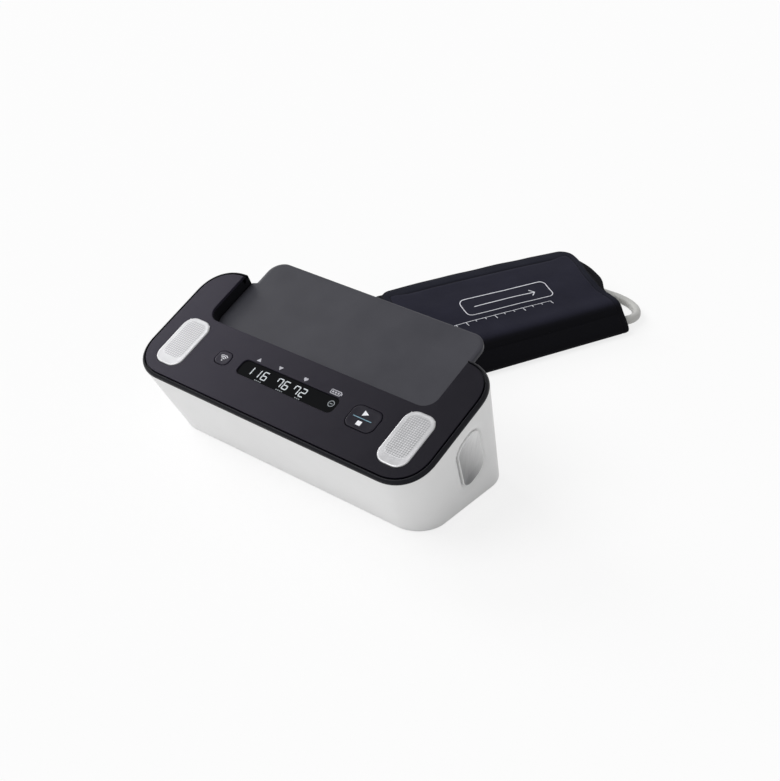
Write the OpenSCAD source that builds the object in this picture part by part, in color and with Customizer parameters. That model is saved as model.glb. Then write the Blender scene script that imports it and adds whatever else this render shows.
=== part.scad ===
// Upper-arm blood pressure monitor with a handset dock, four electrodes and a rolled cuff.
// The origin is on the table, under the middle of the base. +X is right and +Y is to the rear.

/* [Housing] */
// Width of the deck outline, where the white case meets the dark band
deck_w = 209.5; // [204:0.5:216]
// Length of the deck outline along its slope
deck_len = 85; // [82:0.5:90]
// Slope of the deck in degrees
deck_slope = 22.7; // [21:0.1:24]
// Height of the deck outline at its front edge
deck_front_h = 45.2; // [43:0.1:48]
// How far the deck's front edge stands ahead of the middle of the base
deck_reach = 60.5; // [58:0.5:63]
// Corner radius of the deck outline
deck_corner_r = 23; // [19:0.5:26]
// Width of the base outline
base_w = 191.4; // [186:0.2:198]
// Depth of the base outline
base_d = 79; // [76:0.5:82]
// Corner radius of the base outline
base_corner_r = 18; // [14:0.5:22]
// Height of the case's underside over the table
case_lift = 0.8; // [0.6:0.1:1.2]
// Wall of the lower case
wall = 2.4; // [2:0.1:2.8]
// Floor of the lower case
floor_t = 2.8; // [2.4:0.1:3.2]
// Height of the rounded band over the deck outline
band_h = 2.6; // [2.2:0.1:3]
// Plate under the face panel
plate_t = 2.7; // [2.2:0.1:3.2]
// Thickness of the face panel
panel_t = 1.8; // [1.4:0.1:2.2]
// Width of the groove between the band and the face panel
groove_w = 0.8; // [0.4:0.1:1.2]

/* [Dock] */
// Width of the dock recess between its side walls
dock_w = 164.6; // [160:0.2:168]
// Distance of the recess's front wall from the deck's front edge, along the slope
dock_front_u = 48.2; // [47:0.2:50]
// Depth of the tray's face under the deck outline
tray_depth = 5.2; // [4.4:0.1:6]
// Thickness of the tray
tray_t = 3.2; // [2.6:0.1:3.6]
// How far the tray's rear end stands behind the base
tray_past_base = 1.5; // [-2:0.5:5]
// Width of the tray behind the deck
tray_rear_w = 158; // [150:0.5:162]

/* [Controls] */
// Width of the display window
window_w = 71.4; // [66:0.2:74]
// Height of the display window, along the slope
window_d = 10.7; // [9:0.1:12]
// Width of the start/stop button
start_w = 19.2; // [17:0.1:21]
// Length of the start/stop button, along the slope
start_d = 14.6; // [13:0.1:16]
// Width of the pairing button
pair_w = 10.1; // [9:0.1:12]
// Length of the pairing button, along the slope
pair_d = 9; // [8:0.1:10]
// Travel of both buttons
travel = 0.8; // [0.4:0.05:0.8]
// Running clearance round each button
button_gap = 0.25; // [0.2:0.05:0.35]

/* [Electrodes] */
// Width of each top electrode
top_pad_w = 19.9; // [18:0.1:21]
// Length of each top electrode, along the slope
top_pad_d = 35.2; // [32:0.1:36.4]
// Distance of a top electrode's middle from the deck's side edge
top_pad_in = 22.05; // [20.75:0.05:23.75]
// Width of each side electrode
side_pad_w = 19.5; // [17:0.1:22]
// Length of each side electrode, down the wall
side_pad_h = 38.5; // [34:0.1:40]
// Thickness of the side electrodes' plates
pad_t = 1.4; // [1:0.1:1.6]

/* [Battery bay] */
// Diameter of one cell
cell_d = 14.2; // [13.8:0.1:14.4]
// Length of one cell with its nub
cell_len = 50.5; // [49.5:0.1:51]
// Spacing of the cells
cell_pitch = 15; // [14.8:0.1:15.4]
// Thickness of the battery cover
cover_t = 1; // [0.8:0.1:1.1]
// Travel of the battery cover
cover_travel = 7; // [6:0.5:8]

/* [Inner parts] */
// Width of the main board
board_w = 131; // [126:1:132]
// Thickness of the main board
board_t = 1.6; // [1.2:0.2:2]
// Diameter of the pump motor
motor_d = 24; // [22:0.5:25]
// Diameter of the pump head
head_d = 27; // [24:0.5:28]
// Diameter of the bleed valve
valve_d = 12; // [10:0.5:13]
// Radius of a case screw's shaft
screw_r = 1.5; // [1.3:0.05:1.6]

/* [Cuff] */
// Length of the rolled cuff, which is the width of the wrap
cuff_len = 145; // [140:1:150]
// Length of the straight part of the roll's profile
roll_flat = 66; // [56:1:68]
// Thickness of the wrap
wrap_t = 2.6; // [2.4:0.05:2.65]
// Spacing of the wrap's layers
wrap_pitch = 2.9; // [2.85:0.05:3]

/* [Hose] */
// Outer diameter of the hose
hose_d = 6; // [5.8:0.1:6]

/* [Hidden] */
$fn = 48;

// Fits, and how far a cut runs past a face and two shapes of one piece run into each other
seat_gap = 0.1;
fit_gap = 0.2;
through = 1;
weld = 0.5;

// Outlines: points in a quarter, and powers of their rounded corners
corner_steps = 11;
base_power = 2;
deck_power = 2.25;

// Housing
base_edge_r = 1.6;
base_z = case_lift + base_edge_r;
floor_z = case_lift + floor_t;
rib_t = 3;
band_rim = 1.7;
band_profile = [[0, 0], [0.12, 1], [0.45, 1.8], [0.8, 2.3], [1.25, band_h]];
panel_inset = band_rim + groove_w;
pocket_n = 0.9;
panel_n = pocket_n + seat_gap;
panel_top_n = panel_n + panel_t;
plate_n = pocket_n - plate_t;
lip_t = 1.4;
lip_n = plate_n - 2.7;
panel_bevel = 0.3;
wall_gap = 0.3;
deck_rear_y = deck_len * cos(deck_slope) - deck_reach;
deck_rear_z = deck_front_h + deck_len * sin(deck_slope);
rear_lean = atan((base_d / 2 - deck_rear_y) / (deck_rear_z - base_z));
deck_mid_y = deck_len / 2 * cos(deck_slope) - deck_reach;
deck_mid_z = deck_front_h + deck_len / 2 * sin(deck_slope);
side_rise = norm([deck_mid_y, deck_mid_z - base_z]);
side_lean = atan((deck_w - base_w) / 2 / side_rise);
plate_inset = wall + wall_gap + (1 - plate_n) * tan(side_lean);
lip_inset = wall + wall_gap + (1 - lip_n) * tan(side_lean);

// Dock
dock_corner_r = 8;
dock_wall = 2;
tray_n = -tray_depth;
tray_low_n = tray_n - tray_t;
shelf_n = tray_low_n - seat_gap;
shelf_t = 2.1;
shelf_low_n = shelf_n - shelf_t;
tray_rear_y = base_d / 2 + tray_past_base;
tray_rear_u = (tray_rear_y + deck_reach + tray_low_n * sin(deck_slope)) / cos(deck_slope);
shelf_rear_u = tray_rear_u - 2.5;
shelf_inset = 2;
tray_gap = 0.4;
tray_corner_r = 10;
tongue_step = 1.5;
dock_cut_len = 60;

// Places on the deck, [x, along the slope]
window_at = [-1.7, 27.7];
start_at = [53.4, 27.7];
pair_at = [-50.4, 27.6];
top_pad_x = deck_w / 2 - top_pad_in;
top_pad_u = 26.9;
top_pad_r = 7.3;
top_pad_proud = 0.5;
contact_u = 18;
contact_hole_r = 1.4;
window_ledge = 2;
window_r = 3.4;
start_r = 4.5;
pair_r = 3.5;

// Side electrodes, in the deck's frame
side_pad_r = 7.8;
side_pad_u = 48;
side_pad_n = -30;
side_pad_x = base_w / 2 + (deck_w - base_w) / 2 * (1 + side_pad_n / side_rise);
side_pocket = pad_t + fit_gap;
side_backing = 2.4;
side_seat_n = -side_pocket + seat_gap;
trough_r = 46;
trough_depth = 0.7;
trough_end = 3;

// Buttons
cap_proud = 0.2;
cap_edge = 0.4;
cap_top_n = panel_top_n + cap_proud;
flange_w = 1.2;
flange_t = 1.1;
flange_top_n = plate_n - 0.3;
flange_n = flange_top_n - flange_t;
stem_r = 2.4;
stem_n = flange_n - 5.4;
plunger_n = stem_n - travel - seat_gap;

// Main board and what it carries
board_n = -12;
board_top_n = board_n + board_t;
board_u0 = 10;
board_u1 = 44;
post_at = [for (x = [-60, 60], u = [14, 40.5]) [x, u]];
post_r = 2.6;
board_screw_r = 1;
board_screw_len = 6.3;
board_screw_head_r = 2;
board_screw_head_t = 1.4;
thread_gap = 0.03;
pin_r = 1.1;
leaf_w = 2.4;
leaf_t = 0.4;
leaf_len = 20;
module_d = 16;
module_w = 76;
module_t = 3.1;
lens_t = 1.1;

// Screw columns, [x, y], and the height of their tops and of the screws' seats in them
column_front = [base_w / 2 - 24.7, 9 - base_d / 2];
column_rear = [base_w / 2 - 7.7, 47 - base_d / 2];
columns = [for (c = [column_front, column_rear], s = [-1, 1]) [s * c[0], c[1]]];
boss_len = 16.4;
boss_weld = 0.6;
seat_drop = 3;
column_r = 4.4;
counterbore_r = 3.1;
screw_head_r = 2.8;
screw_head_t = 2.2;
screw_len = 14;
screw_socket = 1.2;
boss_r = 3;

// Feet
foot_x = base_w / 2 - 15.7;
feet_at = [for (x = [-foot_x, foot_x], y = [13 - base_d / 2, base_d / 2 - 12]) [x, y]];
foot_r = 5.5;
foot_t = 2;
foot_face_r = foot_r - 0.4;
foot_face_t = 0.4;

// Battery bay
bay_w = 4 * cell_pitch + 2;
bay_wall = 1.6;
bay_y0 = -27.5;
bay_len = cell_len + 3.5;
cell_z = case_lift + 2.2 + cell_d / 2;
bay_top = cell_z + cell_d / 2 + 0.4;
cover_z = case_lift + 0.2;
cover_w = bay_w + 2;
cover_y0 = bay_y0 - 1.8;
cover_y1 = bay_y0 + bay_len + 1.2;
cover_tab_w = 1.7;
cover_tab_len = 6;
cover_tab_t = 0.9;
cover_tabs_y = [cover_y0 + 14, cover_y1 - 10];
lip_z = case_lift + 0.9;
contact_t = 0.4;
spring_len = 2.2;

// Pump, valve and air path
manifold_y = base_d / 2 - 24;
pump_y = manifold_y - 22;
pump_z = 18;
head_x0 = 15.7 - base_w / 2;
motor_x0 = head_x0 + 14;
motor_x1 = motor_x0 + 28;
outlet_x = head_x0 + 6;
outlet_len = 2;
manifold_d = 8;
manifold_wall = 2.4;
manifold_x0 = head_x0 + 4;
manifold_x1 = manifold_x0 + 30;
manifold_z = 20;
valve_x = manifold_x0 + 18;
valve_h = 22;
tube_r = 2.2;
sensor_at = [-30, 32];
sensor_w = 9;
sensor_h = 4;
sensor_port = 3.5;
sensor_port_r = 1.4;

// Jacks in the rear wall
jack_z = 14;
air_jack_x = -44;
dc_jack_x = 44;
jack_body_r = 4.8;
jack_back = -12.8;
jack_rim_r = 6.4;
jack_bore_r = 2.6;
jack_bore_len = 9;
dc_bore_r = 2.9;

// Cuff frame: its corner stands on the table, x runs along the roll and y across it
cuff_corner = [64, 216.5];
cuff_turn = 65;
roll_front = [8.9, 11.6];
roll_back_low = [roll_front[0] + roll_flat, roll_front[1]];
roll_back_rise = 6.5;
roll_back_high = [roll_back_low[0], roll_back_low[1] + roll_back_rise];
roll_tilt = atan(roll_back_rise / roll_flat);
roll_first = 1.6;
roll_turns = 3;
roll_stub = 8.4;
flap_len = 70;
arc_steps = 6;
front_steps = 11;
bladder_t = 1;
bladder_gap = 0.05;
bladder_inset = 13;
socket_at = [8, 6.2];
socket_r = 4.3;
socket_len = 14;
socket_depth = 12;
socket_proud = 0.6;
patch_from = 18;
patch_len = 40;
patch_t = 0.5;
patch_margin = 14;
ring_wire_r = 1.5;
ring_w = 36;
ring_bend_r = 5;

// Hose: route points in the cuff's frame, [along, across, up]
route_cuff_side = [
    [-12, 8, 6.2], [-5, 8, 6.2], [1, 8, 6.2], [9.5, 10, 5.2], [17, 17, 4],
    [21, 28, 3.2], [19.5, 40, 3.1], [15.5, 50, 3.1], [11.5, 59, 3.1], [9.5, 68, 3.1],
    [9, 76, 3.1], [3.5, 87.5, 3.1], [-6, 94.5, 3.1], [-17, 97, 3.1], [-32, 97, 3.1],
    [-47, 97, 3.1], [-63, 97, 3.1], [-79, 97, 3.1], [-95, 97, 3.1], [-111, 97, 3.1],
    [-127, 97, 3.1], [-143, 97, 3.4], [-160, 97, 3.9], [-175, 97, 3.9]
];
coil_r = 30;
coil_at = [-181, 97 - coil_r];
coil_low_z = 3.9;
coil_rise = hose_d + 0.55;
coil_start = cuff_turn + 90;
coil_sweep = 630 + 360 - coil_start;
coil_rings = 56;
coil_climbs = [coil_start + 230, coil_start + 590];
climb_sweep = 120;
end_run = hose_d;
tie_angle = coil_start + 163;
tie_w = 5;
tie_t = 0.6;
tie_gap = 0.28;
barb_len = 9;
barb_r = 3.6;
elbow_run = 4.5;
plug_r = 4.2;

// ---------- Outlines and frames ----------

function outline(w, d, r, power = 2) = [
    for (q = [0:3], i = [0:corner_steps])
        let (
            t = 90 * i / corner_steps,
            c = r * pow(cos(t), 2 / power),
            s = r * pow(sin(t), 2 / power),
            hw = w / 2 - r,
            hd = d / 2 - r
        )
        q == 0 ? [hw + c, hd + s] :
        q == 1 ? [-hw - s, hd + c] :
        q == 2 ? [-hw - c, -hd - s] : [hw + s, -hd - c]
];

// The deck outline, drawn in by a given amount, with its front edge at 0
function deck_outline(inset) = [
    for (p = outline(deck_w - 2 * inset, deck_len - 2 * inset, deck_corner_r - inset, deck_power))
        [p[0], p[1] + deck_len / 2]
];

function base_outline(inset) =
    outline(base_w - 2 * inset, base_d - 2 * inset, base_corner_r - inset, base_power);

// The dock's outline, let out by a given amount and open to the rear
function dock_outline(grow, rear_u) =
    let (
        r = dock_corner_r + grow,
        hw = dock_w / 2 + grow,
        u0 = dock_front_u - grow
    )
    concat(
        [[hw, rear_u], [-hw, rear_u]],
        [for (i = [0:corner_steps])
            let (t = 180 + 90 * i / corner_steps) [-hw + r + r * cos(t), u0 + r + r * sin(t)]],
        [for (i = [0:corner_steps])
            let (t = 270 + 90 * i / corner_steps) [hw - r + r * cos(t), u0 + r + r * sin(t)]]
    );

// A plate that narrows behind the deck and ends in two round corners
function tongue_outline(front_hw, rear_hw, front_u, rear_u, r) = concat(
    [[front_hw, front_u], [front_hw, deck_len], [rear_hw, deck_len + tongue_step]],
    [for (i = [0:corner_steps])
        let (t = 90 * i / corner_steps) [rear_hw - r + r * cos(t), rear_u - r + r * sin(t)]],
    [for (i = [0:corner_steps])
        let (t = 90 + 90 * i / corner_steps) [-rear_hw + r + r * cos(t), rear_u - r + r * sin(t)]],
    [[-rear_hw, deck_len + tongue_step], [-front_hw, deck_len], [-front_hw, front_u]]
);

function stadium(r, half_len) = concat(
    [for (i = [0:12]) let (t = 15 * i) [r * cos(t), half_len + r * sin(t)]],
    [for (i = [0:12]) let (t = 180 + 15 * i) [r * cos(t), -half_len + r * sin(t)]]
);

function on_deck_point(x, u, n) = [
    x,
    u * cos(deck_slope) - n * sin(deck_slope) - deck_reach,
    deck_front_h + u * sin(deck_slope) + n * cos(deck_slope)
];

function deck_ring(inset, n) = [for (p = deck_outline(inset)) on_deck_point(p[0], p[1], n)];
function flat_ring(inset, z) = [for (p = base_outline(inset)) [p[0], p[1], z]];
function mix(a, b, t) = [for (i = [0:len(a) - 1]) a[i] * (1 - t) + b[i] * t];

// Where the deck outline stands over a point of the base
function deck_z(y) = deck_front_h + (y + deck_reach) * tan(deck_slope);
function column_top(c) = deck_z(c[1]) - boss_weld - boss_len - seat_gap;
function screw_seat(c) = column_top(c) - seat_drop;
function rear_wall_y(z) = base_d / 2 - (z - base_z) * tan(rear_lean);

module on_deck() {
    translate([0, -deck_reach, deck_front_h]) rotate([deck_slope, 0, 0]) children();
}

module at_rear_wall(x, z) {
    translate([x, rear_wall_y(z), z]) rotate([rear_lean - 90, 0, 0]) children();
}

module at_side_pad(s) {
    mirror([s < 0 ? 1 : 0, 0, 0])
        on_deck()
            translate([side_pad_x, side_pad_u, side_pad_n])
                rotate([90, 0, 90])
                    rotate([side_lean, 0, 0])
                        children();
}

module at_cuff() {
    translate([cuff_corner[0], cuff_corner[1], 0]) rotate([0, 0, cuff_turn]) children();
}

// A plate with a given outline between two heights
module slab(points, n0, n1) {
    translate([0, 0, n0]) linear_extrude(height = n1 - n0) polygon(points);
}

module pad(w, d, r, n0, n1) {
    slab(outline(w, d, r), n0, n1);
}

// A closed skin over rings that have the same number of points
module loft(rings) {
    n = len(rings[0]);
    last = len(rings) - 1;
    sides = [
        for (k = [0:last - 1], i = [0:n - 1])
            let (j = (i + 1) % n)
            each [
                [k * n + i, (k + 1) * n + i, (k + 1) * n + j],
                [k * n + i, (k + 1) * n + j, k * n + j]
            ]
    ];
    caps = [[for (i = [0:n - 1]) i], [for (i = [n - 1:-1:0]) last * n + i]];
    polyhedron(points = [for (r = rings) each r], faces = concat(sides, caps), convexity = 6);
}

// ---------- Tubes ----------

function unit(v) = v / norm(v);
function tangent(path, i) = unit(path[min(i + 1, len(path) - 1)] - path[max(i - 1, 0)]);
function ring_at(path, i, r, sides) =
    let (
        t = tangent(path, i),
        side = unit(cross([0, 0, 1], t)),
        up = cross(t, side)
    )
    [for (a = [0:sides - 1])
        let (q = 360 * (a + 0.5) / sides) path[i] + r * (cos(q) * side + sin(q) * up)];
function path_length(path) =
    len(path) < 2 ? 0 : [for (i = [1:len(path) - 1]) norm(path[i] - path[i - 1])] * [
        for (i = [1:len(path) - 1]) 1
    ];

module tube(path, r, sides) {
    loft([for (i = [0:len(path) - 1]) ring_at(path, i, r, sides)]);
}

function cuff_point(p) = [
    cuff_corner[0] + p[0] * cos(cuff_turn) - p[1] * sin(cuff_turn),
    cuff_corner[1] + p[0] * sin(cuff_turn) + p[1] * cos(cuff_turn),
    p[2]
];

hose_cuff_path = [for (p = route_cuff_side) cuff_point(p)];
coil_mid = cuff_point([coil_at[0], coil_at[1], 0]);

function ramp(t) = let (c = max(0, min(1, t))) c * c * (3 - 2 * c);
function coil_z(q) = coil_low_z + coil_rise * (
    ramp((q - coil_climbs[0]) / climb_sweep) + ramp((q - coil_climbs[1]) / climb_sweep)
);
function coil_point(q) = [
    coil_mid[0] + coil_r * cos(q),
    coil_mid[1] + coil_r * sin(q),
    coil_z(q)
];
coil_arc = [for (i = [0:coil_rings]) coil_point(coil_start + coil_sweep * i / coil_rings)];
coil_end = coil_start + coil_sweep;
coil_path = concat(
    [coil_arc[0] - end_run * [-sin(coil_start), cos(coil_start), 0]],
    coil_arc,
    [coil_arc[coil_rings] + end_run * [-sin(coil_end), cos(coil_end), 0]]
);
coil_exit = coil_path[len(coil_path) - 1];

// The plug's elbow stands in line with the hose as it leaves the coil
plug_reach = (coil_exit[1] - rear_wall_y(jack_z)) / cos(rear_lean);
elbow_z = jack_z + plug_reach * sin(rear_lean);
hose_plug_path = [
    coil_exit,
    [coil_exit[0] + elbow_run, coil_exit[1], coil_exit[2]],
    [air_jack_x - barb_len - elbow_run, coil_exit[1], elbow_z],
    [air_jack_x - barb_len, coil_exit[1], elbow_z]
];

coil_gap = min([
    for (i = [0:len(coil_path) - 1], j = [i + 12:1:len(coil_path) - 1])
        norm(coil_path[i] - coil_path[j])
]) - hose_d;
echo(coil_least_gap = coil_gap);
echo(hose_length = path_length(hose_cuff_path) + path_length(coil_path) + path_length(hose_plug_path));

// ---------- Cuff ----------

// One place on the wrap: its middle and its outward normal, in the plane of the roll's end
function roll_station(centre, angle, d) = [
    centre + d * [cos(angle), sin(angle)],
    [cos(angle), sin(angle)]
];
function front_arc(d) = [
    for (i = [0:front_steps])
        roll_station(roll_front, -90 - (180 - roll_tilt) * i / front_steps, d)
];
function back_arcs(d) = concat(
    [for (i = [0:arc_steps])
        roll_station(roll_back_high, (90 + roll_tilt) * (1 - i / arc_steps),
            d + wrap_pitch / 2 * i / arc_steps)],
    [for (i = [0:arc_steps])
        roll_station(roll_back_low, -90 * i / arc_steps,
            d + wrap_pitch / 2 * (1 + i / arc_steps))]
);
function layer(k) = roll_first + wrap_pitch * k;
function flap_station(k, along) = roll_station(
    roll_front + along * [cos(roll_tilt), sin(roll_tilt)], 90 + roll_tilt, layer(k));

stub = [roll_station(roll_front + [roll_stub, 0], -90, layer(0))];
wrap_stations = concat(
    stub,
    front_arc(layer(0)),
    [for (k = [0:roll_turns - 1]) each concat(back_arcs(layer(k)), front_arc(layer(k + 1)))],
    [flap_station(roll_turns, flap_len)]
);
bladder_stations = concat(
    front_arc(layer(1)),
    back_arcs(layer(1)),
    front_arc(layer(2)),
    [flap_station(2, roll_flat - 4)]
);

// A strip along the stations, between two offsets from its middle
function strip(stations, n0, n1) = concat(
    [for (s = stations) s[0] + n1 * s[1]],
    [for (i = [len(stations) - 1:-1:0]) stations[i][0] + n0 * stations[i][1]]
);

echo(wrap_length = path_length([for (s = wrap_stations) s[0]]));

// Extrudes a shape in the plane of the roll's end along the roll, from a0 to a1
module along_roll(a0, a1) {
    at_cuff() translate([a0, 0, 0]) rotate([90, 0, 90]) linear_extrude(height = a1 - a0) children();
}

module on_flap(k) {
    at_cuff()
        translate([0, roll_front[0], roll_front[1]])
            rotate([roll_tilt, 0, 0])
                translate([0, 0, layer(k)])
                    children();
}

module cuff_wrap() {
    color("midnightblue") difference() {
        along_roll(-cuff_len, 0) polygon(strip(wrap_stations, -wrap_t / 2, wrap_t / 2));
        along_roll(-cuff_len + bladder_inset, -socket_len - 2)
            polygon(strip(bladder_stations, -bladder_t / 2 - bladder_gap, bladder_t / 2 + bladder_gap));
        at_cuff()
            translate([-socket_len - fit_gap, socket_at[0], socket_at[1]])
                rotate([0, 90, 0])
                    cylinder(h = socket_len + fit_gap + through, r = socket_r + fit_gap);
        on_flap(roll_turns)
            translate([-cuff_len + patch_margin - fit_gap, patch_from - fit_gap, -wrap_t / 2 - through])
                cube([
                    cuff_len - 2 * (patch_margin - fit_gap),
                    patch_len + 2 * fit_gap,
                    through + patch_t
                ]);
    }
}

module cuff_bladder() {
    color("dimgray")
        along_roll(-cuff_len + bladder_inset + fit_gap, -socket_len - 2 - fit_gap)
            polygon(strip(bladder_stations, -bladder_t / 2, bladder_t / 2));
}

module cuff_hose_socket() {
    color("black")
        at_cuff()
            translate([-socket_len, socket_at[0], socket_at[1]])
                rotate([0, 90, 0])
                    difference() {
                        cylinder(h = socket_len + socket_proud, r = socket_r);
                        translate([0, 0, socket_len - socket_depth])
                            cylinder(h = socket_depth + through, r = hose_d / 2 + fit_gap);
                    }
}

module hook_patch() {
    color("black")
        on_flap(roll_turns)
            translate([-cuff_len + patch_margin, patch_from, -wrap_t / 2])
                cube([cuff_len - 2 * patch_margin, patch_len, patch_t - seat_gap]);
}

// A wire ring that lies in the hollow of the roll, on the inside of its lowest layer
module cuff_ring() {
    ring_len = cuff_len - 34;
    ring_z = roll_front[1] - layer(1) + wrap_t / 2 + ring_wire_r + seat_gap;
    color("silver")
        at_cuff()
            translate([-cuff_len / 2, roll_back_low[0] - 8 - ring_w / 2, ring_z])
                for (q = [0:3]) {
                    run = (q % 2 == 0 ? ring_w : ring_len) - 2 * ring_bend_r;
                    reach = q % 2 == 0 ? ring_len / 2 : ring_w / 2;
                    rotate([0, 0, 90 * q]) {
                        translate([reach, -run / 2, 0])
                            rotate([-90, 0, 0])
                                cylinder(h = run, r = ring_wire_r, $fn = 20);
                        translate([reach - ring_bend_r, run / 2, 0])
                            rotate_extrude(angle = 90)
                                translate([ring_bend_r, 0]) circle(r = ring_wire_r, $fn = 20);
                    }
                }
}

// ---------- Hose ----------

module hose_cuff_side() {
    color("darkgray") tube(hose_cuff_path, hose_d / 2, 10);
}

module hose_coil() {
    color("darkgray") tube(coil_path, hose_d / 2, 6);
}

module hose_plug_side() {
    color("darkgray") tube(hose_plug_path, hose_d / 2, 10);
}

// A soft band round the two lower loops
module hose_tie() {
    inner_r = hose_d / 2 + tie_gap;
    color("dimgray")
        translate([coil_mid[0], coil_mid[1], coil_low_z + coil_rise / 2])
            rotate([0, 0, tie_angle])
                translate([coil_r, tie_w / 2, 0])
                    rotate([90, 0, 0])
                        difference() {
                            slab(stadium(inner_r + tie_t, coil_rise / 2), 0, tie_w);
                            slab(stadium(inner_r, coil_rise / 2), -through, tie_w + through);
                        }
}

module air_plug() {
    nipple_len = 8;
    collar_z = 1.5;
    collar_t = 2;
    color("dimgray") {
        at_rear_wall(air_jack_x, jack_z) {
            translate([0, 0, -nipple_len])
                cylinder(h = nipple_len + plug_reach, r = jack_bore_r - seat_gap);
            translate([0, 0, collar_z]) cylinder(h = collar_t, r = plug_r + 1);
            translate([0, 0, collar_z]) cylinder(h = plug_reach - collar_z, r = plug_r);
            translate([0, 0, plug_reach]) sphere(r = plug_r);
        }
        translate([air_jack_x - barb_len, coil_exit[1], elbow_z])
            rotate([0, 90, 0])
                cylinder(h = barb_len, r = barb_r);
    }
}

// ---------- Housing ----------

module case_skin() {
    top = deck_ring(0, -seat_gap);
    foot = flat_ring(0, base_z);
    difference() {
        loft([
            flat_ring(base_edge_r, case_lift),
            flat_ring(0.3 * base_edge_r, case_lift + 0.4 * base_edge_r),
            foot,
            mix(foot, top, 0.5),
            top
        ]);
        loft([flat_ring(wall, floor_z), deck_ring(wall, through)]);
    }
}

module battery_bay_walls() {
    foot_z = case_lift + floor_t / 2;
    translate([-bay_w / 2 - bay_wall, bay_y0 - bay_wall, foot_z])
        cube([bay_w + 2 * bay_wall, bay_len + 2 * bay_wall, bay_top + bay_wall - foot_z]);
}

module battery_bay_space() {
    under = case_lift - through;
    recess_z = case_lift + through + cover_t + 0.05;
    translate([-bay_w / 2, bay_y0, under])
        cube([bay_w, bay_len, bay_top - under]);
    translate([-cover_w / 2 - fit_gap, cover_y0 - cover_travel - fit_gap, under])
        cube([
            cover_w + 2 * fit_gap,
            cover_y1 - cover_y0 + cover_travel + 2 * fit_gap,
            recess_z - under
        ]);
    for (y = cover_tabs_y) {
        // Room over the lip for the tab to slide in
        translate([-cover_w / 2 - cover_tab_w - fit_gap, y - cover_travel - cover_tab_len, lip_z])
            cube([
                cover_w + 2 * cover_tab_w + 2 * fit_gap,
                cover_travel + 1.5 * cover_tab_len + fit_gap,
                cover_tab_t + fit_gap
            ]);
        // Gap in the lip, where the tab comes in
        translate([-cover_w / 2 - cover_tab_w - fit_gap, y - cover_travel - cover_tab_len, under])
            cube([cover_w + 2 * cover_tab_w + 2 * fit_gap, cover_tab_len, 2 * through]);
    }
}

module pump_cradle() {
    cradle_w = 0.75 * motor_d;
    rest_w = 6;
    root_z = floor_z - weld;
    for (x = [motor_x0 + 5, motor_x1 - 7])
        translate([x, pump_y, root_z])
            difference() {
                translate([0, -cradle_w / 2, 0]) cube([rib_t, cradle_w, pump_z - motor_d / 6 - root_z]);
                translate([-through, 0, pump_z - root_z])
                    rotate([0, 90, 0])
                        cylinder(h = rib_t + 2 * through, r = motor_d / 2 + seat_gap);
            }
    // Rest under the air manifold
    translate([manifold_x0 + 5, manifold_y - rest_w / 2, root_z])
        cube([rib_t, rest_w, manifold_z - manifold_d / 2 - seat_gap - root_z]);
}

module lower_case() {
    pad_frame = 7;
    pad_gap = 0.3;
    notch_gap = 0.3;
    jack_hole_len = 12;
    color("white") difference() {
        union() {
            case_skin();
            for (c = columns)
                translate([c[0], c[1], case_lift + 1])
                    cylinder(h = column_top(c) - case_lift - 1, r = column_r);
            battery_bay_walls();
            pump_cradle();
            for (s = [-1, 1])
                at_side_pad(s)
                    pad(side_pad_w + pad_frame, side_pad_h + pad_frame, side_pad_r + pad_frame / 2,
                        -side_pocket - side_backing, -side_pocket + 0.4);
        }
        // The rear wall stops under the dock's shelf
        on_deck()
            translate([-dock_w / 2 - dock_wall - notch_gap, dock_front_u + 12, shelf_low_n - fit_gap])
                cube([dock_w + 2 * (dock_wall + notch_gap), deck_len, deck_len / 2]);
        battery_bay_space();
        for (c = columns) translate([c[0], c[1], 0]) {
            cylinder(h = screw_seat(c), r = counterbore_r);
            cylinder(h = column_top(c) + through, r = screw_r + seat_gap);
        }
        for (f = feet_at)
            translate([f[0], f[1], 0])
                cylinder(h = foot_t + seat_gap, r = foot_r + seat_gap);
        for (s = [-1, 1])
            at_side_pad(s) {
                pad(side_pad_w + 2 * pad_gap, side_pad_h + 2 * pad_gap, side_pad_r + pad_gap,
                    -side_pocket, 6);
                translate([0, 0, -10]) cylinder(h = 10, r = contact_hole_r);
            }
        for (x = [air_jack_x, dc_jack_x])
            at_rear_wall(x, jack_z)
                translate([0, 0, -jack_hole_len / 2])
                    cylinder(h = jack_hole_len, r = jack_body_r + seat_gap);
    }
}

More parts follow.
